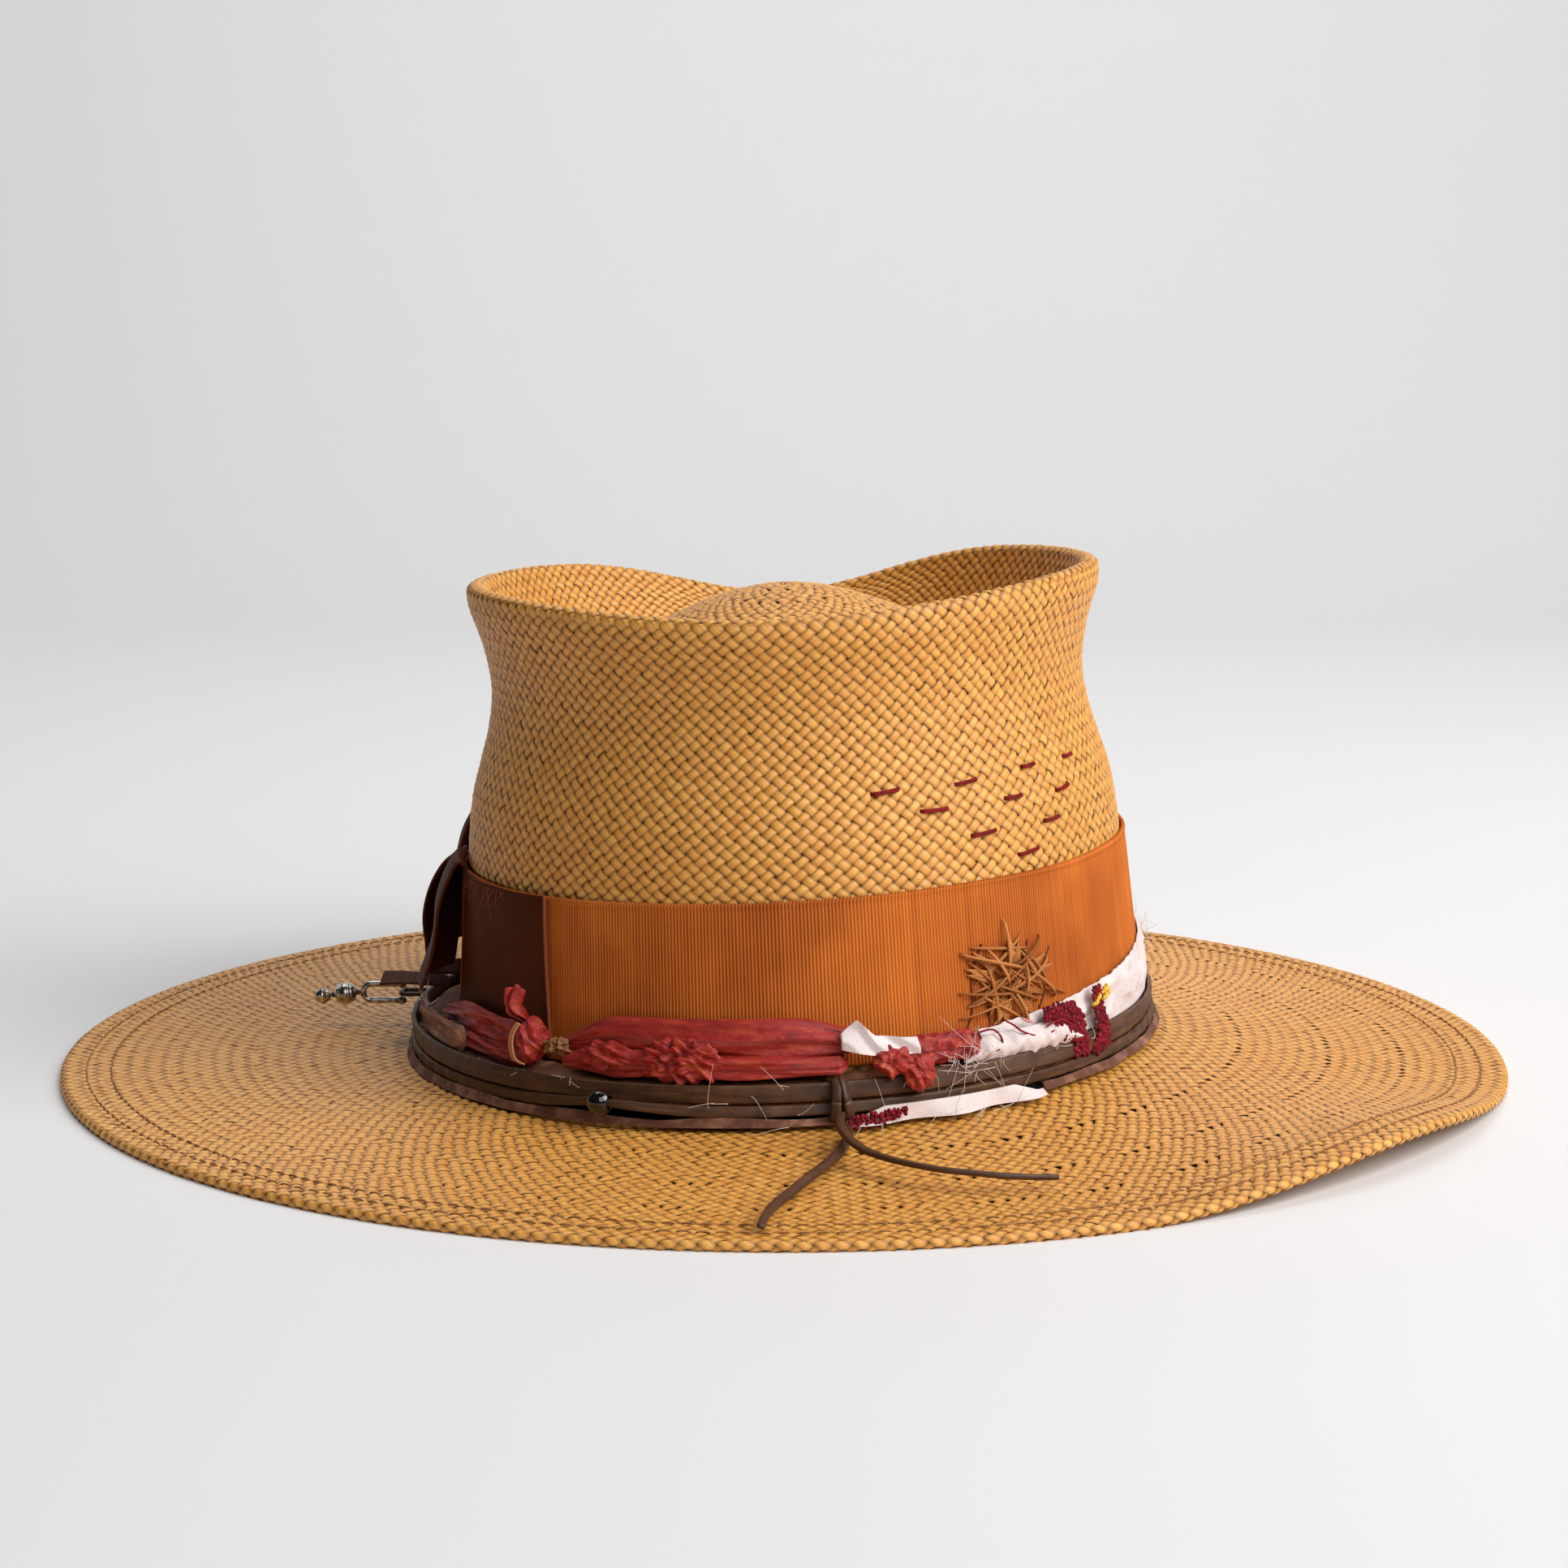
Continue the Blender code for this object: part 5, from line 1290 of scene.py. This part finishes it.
def make_white(white, pale_thread):
    def band_span(angle, u):
        degrees = np.degrees(angle)
        rise = np.minimum(1, (degrees + 62.5) / 62.5)
        fall = np.maximum(0, (degrees - 20) / 38)
        top = 0.0165 + 0.0080 * rise - 0.0070 * fall
        worn = np.clip((58.0 - degrees) / 9.0, 0.12, 1)
        return np.full_like(u, 0.0100), 0.0100 + (top - 0.0100) * worn + 0.0002 * waves(u, u * 0, 5, 0.003)

    def band_lift(u, v, angle, share):
        folds = 0.0007 * waves(u, v, 101, 0.012, (1.3, 1), sharp=True) + 0.0005 * waves(u, v, 102, 0.02)
        belly = 0.0010 * np.sin(math.pi * np.clip(share, 0, 1))
        return 0.0017 + np.clip(0.0005 + folds * np.sin(math.pi * np.clip(share * 0.9 + 0.05, 0, 1)) + belly,
                                0, 0.003)

    band = crown_sheet("white_band_cloth", (-62.5, 58.0), band_span, band_lift, 0.0004, white,
                       ("white_cloth_band",), rows=40, step=0.0006)

    def under_span(angle, u):
        fade = np.clip(np.minimum(u, u[-1] - u) / 0.006, 0.1, 1)
        return 0.0100 - 0.0010 * fade, 0.0105 + 0.0050 * fade

    def under_lift(u, v, angle, share):
        return 0.0042 + 0.0022 * np.sin(math.pi * share) + 0.0006 * waves(u, v, 111, 0.007, sharp=True)

    crown_sheet("white_under_fold", (-66.0, -44.0), under_span, under_lift, 0.0004, white, (),
                rows=24)

    def facet_span(angle, u):
        share = u / u[-1]
        return 0.0172 - 0.0022 * np.minimum(1,
            share * 2) + 0 * u, 0.0206 + 0.0034 * np.clip(1 - np.abs(share - 0.22) / 0.22, 0,
                1) - 0.0022 * share

    def facet_lift(u, v, angle, share):
        along = u / u.max()
        fold = 0.0012 * (1 - 2 * np.abs((along * 2.2 + 0.8 * share) % 1 - 0.5))
        return 0.0086 + fold - 0.0012 * share

    crown_sheet("white_scrap_cloth", (-84.6, -73.8), facet_span, facet_lift, 0.0005, white,
                ("white_cloth_scrap",), rows=24)

    def lower_span(angle, u):
        fade = np.clip(np.minimum(u, u[-1] - u) / 0.008, 0.2, 1)
        return 0.0006 + 0 * u, 0.0012 + 0.0030 * fade

    def lower_lift(u, v, angle, share):
        return lace_offset(angle) + LACE_THICKNESS + 0.0016 + 0.0012 * np.sin(u * 330) * (1 - share) + 0.0012 * (1 - share)

    crown_sheet("white_lower_strip", (-84.5, -54.5), lower_span, lower_lift, 0.0005, white,
                ("white_cloth_lower",), rows=18)

    places = fray_places(WHITE_FRAYS, 7)
    threads = stray_threads(places, (0.0014, 0.0036), 0.00008, curl=3.0, seed=8, points=12)
    bundle("white_frays", threads, pale_thread)


def stitched_shape(name, outline, look, replaces, seed, offset, pitch=0.00095, grain=0.0011):
    """A shape filled with short plump stitches. outline gives (degrees, height) corners, in order."""
    draw = np.random.default_rng(seed)
    reach = 0.0965 * math.radians(1)
    corners = np.array([(d * reach, h) for d, h in outline])
    low, high = corners.min(0), corners.max(0)
    made, tints = [], []
    for row, y in enumerate(np.arange(low[1], high[1], pitch * 0.8)):
        for x in np.arange(low[0] + (row % 2) * pitch / 2, high[0], pitch):
            at = np.array([x, y]) + draw.normal(0, 0.00016, 2)
            ahead = np.roll(corners, -1, 0)
            crosses = (corners[:, 1] > at[1]) != (ahead[:, 1] > at[1])
            edge = corners[:, 0] + (at[1] - corners[:, 1]) / np.where(crosses, ahead[:, 1] - corners[:, 1],
                1) * (ahead[:, 0] - corners[:, 0])
            if (crosses & (at[0] < edge)).sum() % 2 == 0:
                continue
            turn = draw.uniform(0.6, 2.2)
            half = grain / 2 * np.array([math.cos(turn), math.sin(turn)])
            rise = draw.uniform(0.0004, 0.0009)
            ends = [(*(at - half), offset), (*at, offset + rise), (*(at + half), offset)]
            places = [(px / reach, py, po) for px, py, po in ends]
            made.append(swept(on_crown_line(places, 6), 0.00046, 0.00040, 6,
                              taper=(0.6, 1, 1.1, 1.1, 1, 0.6)))
            tints.append(draw.normal())
    return bundle(name, made, look, replaces, tints=tints)


def make_scrolls(red, yellow, pink):
    big = [(-51.4, 0.0186), (-48.5, 0.0194), (-44.8, 0.0187), (-43.2, 0.0150), (-42.3, 0.0100),
           (-42.9, 0.0056),
           (-46.5, 0.0062), (-45.6, 0.0095), (-47.8, 0.0108), (-47.4, 0.0130), (-49.6, 0.0142),
           (-49.0, 0.0158), (-51.6, 0.0160)]
    stitched_shape("scroll_large_stitches", big, red, ("scroll_embroidery_large",), 3, 0.0050)
    small = [(-39.6, 0.0200), (-37.8, 0.0206), (-37.4, 0.0153), (-36.4, 0.0105), (-36.9, 0.0060),
             (-40.4, 0.0048), (-42.0, 0.0050),
             (-41.2, 0.0068), (-39.4, 0.0092), (-39.2, 0.0120), (-39.9, 0.0150)]
    stitched_shape("scroll_small_stitches", small, red, ("scroll_embroidery_small",), 4, 0.0048)
    curved = []
    for line in (
        [(-64.8, 0.0166), (-61.5, 0.0170), (-60.0, 0.0148), (-60.2, 0.0124), (-62.6, 0.0118)],
        [(-59.2, 0.0186), (-57.6, 0.0170), (-56.0, 0.0150), (-52.8, 0.0131), (-49.4, 0.0137)],
        [(-51.4, 0.0150), (-48.6, 0.0156), (-46.0, 0.0136), (-44.6, 0.0110)],
    ):
        curved.append(swept(on_crown_line([(d, h, 0.0058) for d, h in line], 40), 0.00026, 0.00026, 6))
    bundle("scroll_outlines", curved, red)
    dots = []
    for d, h in ((-38.8, 0.0178), (-37.2, 0.0188), (-36.4, 0.0192), (-37.0, 0.0174), (-39.6, 0.0168),
                 (-36.2, 0.0180)):
        places = [(d - 0.6, h - 0.0005, 0.0052), (d, h, 0.0060), (d + 0.6, h + 0.0005, 0.0052)]
        dots.append(swept(on_crown_line(places, 6), 0.0005, 0.0005, 6))
    bundle("scroll_yellow_stitches", dots, yellow)
    diamond = []
    for k in range(4):
        places = [(-55.6 + 0.5 * k, 0.0180 - 0.0003 * k, 0.0048),
                  (-54.6 + 0.4 * k, 0.0168 - 0.0002 * k, 0.0050)]
        diamond.append(swept(on_crown_line(places, 5), 0.00028, 0.0002, 6))
    bundle("scroll_diamond_stitches", diamond, pink)
    lower = [(-84.6, 0.0004), (-84.0, 0.0030), (-80.0, 0.0034), (-76.6, 0.0038), (-76.2, 0.0028),
             (-79.0, 0.0012), (-81.8, 0.0003)]
    stitched_shape("scroll_lower_stitches", lower, red, ("scroll_embroidery_lower",), 6, 0.0112)


def make_tan(tan, rose, pale_thread):
    wrap = ribbed_wrap(
        "tan_wrap_cloth", (0, 360), lambda a: 0.0026 + 0 * a, lambda a: 0.0100 + 0 * a,
        lambda a: 0.0012 + 0 * a,
        lambda a: np.maximum(0.0022, lace_offset(a) - 0.0008), tan, ("tan_cloth_wrap",), 131,
        ruffle=0.0003,
    )
    gathered(
        "tan_fold_cloth", (-176.0, -148.0),
        lambda a: (0.0118 + 0 * a, 0.0108 - 0.0012 * (np.degrees(a) + 176) / 28,
                   0.0030 + 0.0004 * np.sin(9 * a), 0.0014 + 0 * a),
        tan, "tan_cloth", ("tan_cloth_fold",), 141, folds=0.0006, around=48,
    )

    def rose_span(angle, u):
        return 0.0008 + 0 * u, 0.0026 + 0.0004 * waves(u, u * 0, 151, 0.02)

    def rose_lift(u, v, angle, share):
        return lace_offset(angle) + LACE_THICKNESS - 0.0002 + 0.0008 * (1 - share) + 0.0003 * waves(u, v, 152,
            0.012)

    crown_sheet("rose_strip_cloth", (-53.5, 274.5), rose_span, rose_lift, 0.0005, rose,
                ("rose_strip",), rows=14, step=0.0008)
    threads = stray_threads(fray_places(TAN_FRAYS, 17), (0.0012, 0.0035), 0.00010, curl=2.0, seed=18)
    bundle("tan_frays", threads, pale_thread)


# ---------------------------------------------------------------- laces, tie and beads


def lace_strap(name, half, line, look, replaces, wander, seed):
    """A flat leather lace right round the crown. line(angle) gives its middle's height and offset."""
    count, around = 900, 16
    angle = np.arange(count) * TAU / count
    height, offset, narrow = line(angle)
    u = angle * 0.1
    ring_noise = sum(np.sin(k * angle + p) / k for k,
                     p in zip((3, 5, 8, 13), np.random.default_rng(seed).uniform(0, TAU, 4)))
    height = height + wander * ring_noise
    lean = 0.16 * np.sin(4 * angle + seed) + 0.10 * np.sin(7 * angle)
    turn = (np.arange(around) + 0.5) * TAU / around
    c = np.sign(np.cos(turn)) * np.abs(np.cos(turn)) ** 0.45 * LACE_THICKNESS / 2
    s = np.sign(np.sin(turn)) * np.abs(np.sin(turn)) ** 0.45 * half
    hh = height[:, None] + (s * np.cos(lean[:, None]) + c * np.sin(lean[:, None])) * narrow[:, None]
    oo = offset[:, None] + (c * np.cos(lean[:, None]) - s * np.sin(lean[:, None])) * narrow[:, None]
    oo = oo + 0.00010 * waves(u[:, None] + 0 * turn, s[None] + 0 * u[:, None], seed, 0.004)
    grid = on_crown(np.broadcast_to(angle[:, None], hh.shape), hh, oo)[:, ::-1]
    faces = ring_faces(count, around)
    uv = np.stack(np.broadcast_arrays((turn / TAU * 4 * half)[None, ::-1], angle[:, None] * 0.1),
                  -1).reshape(-1, 2)
    return piece(name, new_mesh(name, grid.reshape(-1, 3), faces, uv=uv), look, replaces)


def make_laces(leather):
    def upper(angle):
        return 0.0080 + 0 * angle, lace_offset(angle) + LACE_THICKNESS / 2, 1 + 0 * angle

    def middle(angle):
        away = np.angle(np.exp(1j * (angle - BEAD_ANGLE)))
        share = np.exp(-0.5 * (away / math.radians(6)) ** 2)
        return 0.0041 + 0.0022 * share, lace_offset(angle) + LACE_THICKNESS / 2 + 0.0043 * share, 1 - 0.30 * share

    lace_strap("lace_upper_strap", 0.0021, upper, leather, ("lace_upper",), 0.00025, 5)
    lace_strap("lace_middle_strap", 0.0013, middle, leather, ("lace_middle",), 0.00010, 9)


def make_tie(leather):
    """The knot: two turns of lace round the other laces, and one strap that crosses them."""
    turns = []
    for shift, lean in ((-0.0014, 0.10), (0.0013, -0.16)):
        t = np.linspace(0, TAU, 40)
        offset = lace_offset(TIE_ANGLE) + 0.0020 + 0.0022 * np.cos(t)
        height = 0.0062 + 0.0044 * np.sin(t)
        degrees = math.degrees(TIE_ANGLE) + np.degrees((shift + lean * (height - 0.0062)) / 0.105)
        turns.append(swept(on_crown(np.radians(degrees), height, offset), 0.0012, 0.00055, 10, square=0.6))
    cross = [(-86.6, 0.0100, 0.0050), (-86.0, 0.0102, 0.0072), (-85.2, 0.0086, 0.0092),
             (-84.4, 0.0060, 0.0094), (-84.0, 0.0030, 0.0086)]
    turns.append(swept(on_crown_line(cross, 30), 0.0013, 0.0006, 10, square=0.6))
    bundle("tie_knot_straps", turns, leather, ("tie_knot",))


def lathe(name, profile, axis, centre, look, replaces, body, around=40):
    """A turned body about an axis: profile gives (place along the axis, radius) round a closed cut."""
    axis = Vector(axis).normalized()
    side = axis.orthogonal().normalized()
    other = axis.cross(side)
    turn = np.arange(around) * TAU / around
    ring = np.cos(turn)[:, None] * np.array(side) + np.sin(turn)[:, None] * np.array(other)
    rows = [np.array(centre) + np.array(axis) * at + ring * radius for at, radius in profile]
    mesh = new_mesh(name, np.concatenate(rows), ring_faces(len(rows), around))
    face_out(mesh)
    return piece(name, mesh, look, replaces, body)


def bead_profile(radius, bore, bands=()):
    start = math.asin(bore / radius)
    turns = np.linspace(start, math.pi - start, 40)
    profile = []
    for t in turns:
        r = radius * (1 - sum(d * math.exp(-(((math.degrees(t) - at) / 3.5) ** 2)) for at, d in bands))
        profile.append((radius * math.cos(t), r * math.sin(t)))
    reach = radius * math.cos(start)
    return profile + [(-reach * 0.93, bore * 0.93), (0, bore * 0.93), (reach * 0.93, bore * 0.93)]


def make_beads(silver, leather):
    glass = plain_material("black_glass", (0.006, 0.005, 0.006), 0.06, coat=0.6)
    lathe("black_bead_round", bead_profile(0.0031, 0.0016), (0.876511, -0.479857, 0.038269),
          (-0.041875, -0.105062, 0.010267),
          glass, ("lace_bead",), "bead")

    hinge = np.array(CHARM_HINGE)
    turns = np.radians(90 + 180 * np.linspace(0, 1, 25))
    bend = [(0.0022 * math.cos(t) - 0.0080, 0, 0.0022 * math.sin(t)) for t in turns]
    line = smooth_line([(0, 0, 0.0022), (-0.0027, 0, 0.0022), (-0.0053, 0, 0.0022)], 10)[:-1].tolist() + bend
    line += smooth_line([(-0.0053, 0, -0.0022), (-0.0027, 0, -0.0022), (0, 0, -0.0022)], 10)[1:].tolist()
    wire = [swept(hinge + np.array(line), 0.0008, 0.0008, 14)]
    for side in (-1, 1):
        t = np.linspace(-1, 1, 13)
        ball = np.stack([0 * t, 0 * t, t * 0.00118], -1) + hinge + (0, 0, side * 0.0022)
        wire.append(swept(ball, 0.0012, 0.0012, 16, taper=np.sqrt(np.clip(1 - t * t, 0.004, 1))))
    bundle("charm_horseshoe", wire, silver, ("charm_pin",), "charm")
    start = hinge + (-0.0080 - 0.0022 - 0.0008 - GAP, 0, 0)
    end = start + (-2 * 0.0030 - 4 * GAP, 0, -0.0008)
    cord = swept(smooth_line([start, (start + end) / 2, end], 12), 0.0007, 0.0007, 10)
    bundle("charm_cord_thread", [cord], leather, ("charm_cord",), "charm")
    along = (end - start) / np.linalg.norm(end - start)
    bands = ((60, 0.10), (75, 0.05), (105, 0.05), (120, 0.10))
    lathe("charm_bead_ribbed", bead_profile(0.0030, 0.0010, bands), along, (start + end) / 2, silver,
          ("charm_bead",), "charm_bead")
    tip = end + along * (0.0021 + GAP)
    small = [(0.0021 * math.cos(t), 0.0021 * math.sin(t) * (1 - 0.08 * math.cos(6 * t))) for t in np.linspace(0.02, math.pi - 0.02, 24)]
    small += [(-0.0019, 0.00006), (0.0019, 0.00006)]
    lathe("charm_end_cap", small, along, tip, silver, ("charm_end_bead",), "charm")
    corner = [(0.0012 * (1 - math.cos(t)), 0.0030 - 0.0012 * (1 - math.sin(t)), 0) for t in np.linspace(0,
        math.pi / 2, 8)]
    half = corner + [(0.0060, 0.0030, 0)]
    loop = [(x, -y, z) for x, y, z in half[::-1]] + half
    bundle("charm_hanger_thread", [swept(hinge + smooth_line(loop, 60), 0.0006, 0.0006, 10)], leather,
           ("charm_hanger",))


# ---------------------------------------------------------------- thread work and the hem


def make_stitches(red, rust, dark):
    for number, (degrees, height, length) in enumerate(THREAD_STITCHES, 1):
        angle, reach = math.radians(degrees), length / 2 / CROWN_HALF_WIDTH
        plies = []
        slope = 0.0002 + 0.0002 * math.sin(number * 2.3)
        for ply in range(5):
            t = np.linspace(-1, 1, 30)
            phase = ply * TAU / 5 + 2.2 * t
            side = 0.00026 * np.cos(phase)
            lift = 0.0009 + 0.0002 * (1 - t**2) + 0.00022 * np.sin(phase) - 0.0008 * np.abs(t) ** 8
            h = height + side + slope * t
            plies.append(swept(on_crown(angle + t * reach, h, lift), 0.00024, 0.00024, 7))
        bundle(f"red_stitch_{number:02d}_thread", plies, red, (f"red_stitch_{number:02d}",))

    draw = np.random.default_rng(40)
    star, tints = [], []

    def stitch(x0, y0, x1, y1, lift, wide):
        t = np.linspace(0, 1, 12)
        a = STAR_ANGLE + STAR_WIDEN * (x0 + (x1 - x0) * t) / 0.0965
        h = STAR_HEIGHT + y0 + (y1 - y0) * t
        o = 0.0016 + lift * np.sin(math.pi * t) ** 0.6
        taper = np.clip(np.sin(math.pi * (0.03 + 0.94 * t)) ** 0.35, 0.25, 1)
        star.append(swept(on_crown(a, h, o), wide, wide * 0.8, 7, taper=taper))
        tints.append(draw.normal())

    for k in range(26):
        turn = draw.uniform(0, TAU)
        x, y = 0.0060 * draw.normal(0, 0.6), 0.0060 * draw.normal(0, 0.6)
        long = draw.uniform(0.0045, 0.0075)
        stitch(x - long * math.cos(turn), y - long * math.sin(turn), x + long * math.cos(turn),
               y + long * math.sin(turn),
               draw.uniform(0.0006, 0.0020), draw.uniform(0.00035, 0.00050))
    for k in range(12):
        turn = TAU * k / 12 + draw.normal(0, 0.12)
        x, y = 0.0035 * math.cos(turn), 0.0035 * math.sin(turn)
        far = draw.uniform(0.0085, 0.0105)
        for step in range(5):
            aside = (step - 2) * 0.00055
            stitch(x - aside * math.sin(turn), y + aside * math.cos(turn), far * math.cos(turn),
                   far * math.sin(turn), 0.0007, 0.00036)
    for line in (((-0.009, 0.008), (0.004, 0.002), (0.010, -0.006)),
                 ((-0.008, -0.004), (0.001, 0.003), (0.0075, 0.009)),
                 ((-0.004, 0.0085), (0.0, -0.001), (0.003, -0.0110))):
        for (x0, y0), (x1, y1) in zip(line, line[1:]):
            stitch(x0, y0, x1, y1, 0.0022, 0.00055)
    bundle("star_stitches", star, rust, ("star_embroidery",), tints=tints)
    dark_lines = []
    for x0, y0, x1, y1 in ((-0.0090, -0.0100, -0.0050, 0.0095), (-0.0055, -0.0130, -0.0030, 0.0050),
                           (0.0010, -0.0125, 0.0045, 0.0085), (0.0060, -0.0080, 0.0095, 0.0060)):
        t = np.linspace(0, 1, 30)
        a = STAR_ANGLE + STAR_WIDEN * (x0 + (x1 - x0) * t + 0.0006 * np.sin(7 * t)) / 0.0965
        dark_lines.append(swept(on_crown(a, STAR_HEIGHT + y0 + (y1 - y0) * t, 0.0014), 0.0005, 0.00025, 6))
    bundle("star_seams", dark_lines, dark)


def make_hem(thread):
    for name, inset in (("outer", 0.0065), ("inner", 0.0125)):
        dashes = []
        count = 270
        for k in range(count):
            middle, half = TAU * (k + 0.5) / count, TAU / count * 0.37
            t = np.linspace(-1, 1, 5)
            lift = HEM_THICKNESS + 0.00035 - 0.00035 * t**4
            line = edge_point(middle + half * t, inset + 0.0001 * math.sin(k * 2.4), lift)
            dashes.append(swept(line, 0.00022, 0.00018, 5))
        bundle(f"hem_stitches_{name}", dashes, thread, (f"brim_stitching_{name}",))


def make_inside(leather, reed, satin):
    inner = -STRAW - 0.0004

    def span(angle, u):
        return np.full_like(u, 0.0036), 0.0326 + 0.0002 * np.sin(u * 900)

    def lift(u, v, angle, share):
        return inner - 0.0010 - np.clip(0.0004 + 0.0005 * waves(u, v, 61, 0.045), 0, 0.0012)

    band = crown_sheet("sweatband_strip", (0, 360), span, lift, 0.0009, leather,
                       ("sweatband",), rows=16, step=0.0015)
    angle = np.arange(REED_STEPS) * TAU / REED_STEPS
    line = on_crown(angle, 0.0036 - GAP - 0.0010, inner - 0.0010)
    turn = np.arange(REED_SIDES) * TAU / REED_SIDES
    out = on_crown(angle, 0.0023, inner + 0.0001) - line
    out /= np.linalg.norm(out, axis=-1, keepdims=True)
    grid = line[:, None] + 0.0010 * (np.cos(turn)[None, :, None] * out[:, None] + np.sin(turn)[None, :,
        None] * np.array([0, 0, 1.0]))
    faces = ring_faces(REED_STEPS, REED_SIDES)[:, ::-1]
    piece("reed_round", new_mesh("reed_round", grid.reshape(-1, 3), faces), reed,
          ("sweatband_reed",))

    centre = on_crown(math.pi / 2, 0.0140, inner - 0.0036)
    loops = []
    for side in (-1, 1):
        t = np.linspace(0, TAU, 30)
        x = side * 0.0037 * (1 - np.cos(t))
        z = 0.0022 * np.sin(t) * (1 - 0.2 * np.cos(t))
        y = -0.0004 * np.sin(t)
        loops.append(swept(centre + np.stack([x, y, z], -1), 0.0010, 0.00025, 8, square=0.6))
    loops.append(swept(centre + np.array([(0, -0.0008, -0.0012), (0, -0.0010, 0), (0, -0.0008, 0.0012)]),
                       0.0009, 0.0004, 8))
    bundle("sweatband_bow_ribbon", loops, satin, ("sweatband_bow",))


def make_tails(leather):
    """Both free ends of the lace, as flat straps along the part's own routes."""
    for name, route, node in (("tail_right_strap", RIGHT_TAIL_ROUTE, "tie_tail_right"),
                              ("tail_left_strap", LEFT_TAIL_ROUTE, "tie_tail_left")):
        line = smooth_line(route, 120)
        taper = 1 - 0.25 * np.linspace(0, 1, 120) ** 3
        made = bundle(name, [swept(line, 0.00115, 0.00075, 12, square=0.6, upright=True, twist=0.5,
                                   taper=taper)], leather,
                      (node,))


make_camera()
lace_leather = leather_material("lace_leather", (0.036, 0.012, 0.004), (0.15, 0.062, 0.022), run=(0.45, 0.12))
make_tails(lace_leather)
make_studio()
make_straw()
grosgrain = ribbon_material("grosgrain", (0.22, 0.036, 0.003), (0.92, 0.260, 0.030), (26, 22, 1))
dark_grosgrain = ribbon_material(
    "grosgrain_bow", (0.050, 0.011, 0.003), (0.14, 0.034, 0.009), (22, 26, 1), specular=0.06, sheen=0.0
)
silk = silk_material("crimson_silk", (0.15, 0.006, 0.008), (0.40, 0.022, 0.018), (0.60, 0.100, 0.032))
white = cloth_material("white_cotton", (0.80, 0.70, 0.70), 0.85, 0.00045, 0.10, (0.90, 0.82, 0.82))
tan = cloth_material("tan_cotton", (0.30, 0.115, 0.055), 0.8, 0.0004, 0.4, (0.56, 0.28, 0.17))
rose = cloth_material("rose_cotton", (0.15, 0.055, 0.030), 0.8, 0.0004, 0.4, (0.42, 0.20, 0.13))
pale_thread = thread_material("pale_thread", (0.62, 0.46, 0.40), (0.92, 0.84, 0.80))
tan_thread = thread_material("tan_thread", (0.34, 0.13, 0.05), (0.66, 0.34, 0.16))
red_thread = thread_material("red_thread", (0.10, 0.004, 0.010), (0.36, 0.014, 0.030))
crown_red = thread_material("crown_red_thread", (0.12, 0.003, 0.004), (0.34, 0.010, 0.010))
rust_thread = thread_material("rust_thread", (0.26, 0.075, 0.018), (0.66, 0.27, 0.075))
seam_thread = thread_material("seam_thread", (0.09, 0.022, 0.008), (0.22, 0.06, 0.02))
hem_thread = thread_material("hem_thread", (0.26, 0.12, 0.045), (0.46, 0.24, 0.10))
silver = metal_material("old_silver", (0.10, 0.085, 0.07), (0.74, 0.72, 0.68))
make_ribbon(grosgrain, dark_grosgrain)
make_bow(dark_grosgrain)
make_silk(silk, tan_thread)
make_white(white, pale_thread)
make_scrolls(
    red_thread,
    thread_material("yellow_thread", (0.70, 0.38, 0.03), (0.95, 0.66, 0.10)),
    thread_material("pink_thread", (0.62, 0.20, 0.22), (0.80, 0.36, 0.36)),
)
make_tan(tan, rose, pale_thread)
make_laces(lace_leather)
make_tie(lace_leather)
make_beads(silver, lace_leather)
make_stitches(crown_red, rust_thread, seam_thread)
make_hem(hem_thread)
make_inside(
    leather_material("sweatband_leather", (0.16, 0.075, 0.035), (0.40, 0.23, 0.12), run=(1.0, 1.0)),
    plain_material("reed_plastic", (0.70, 0.64, 0.50), 0.4),
    silk_material("bow_satin", (0.08, 0.035, 0.015), (0.17, 0.08, 0.04), (0.26, 0.14, 0.07)),
)
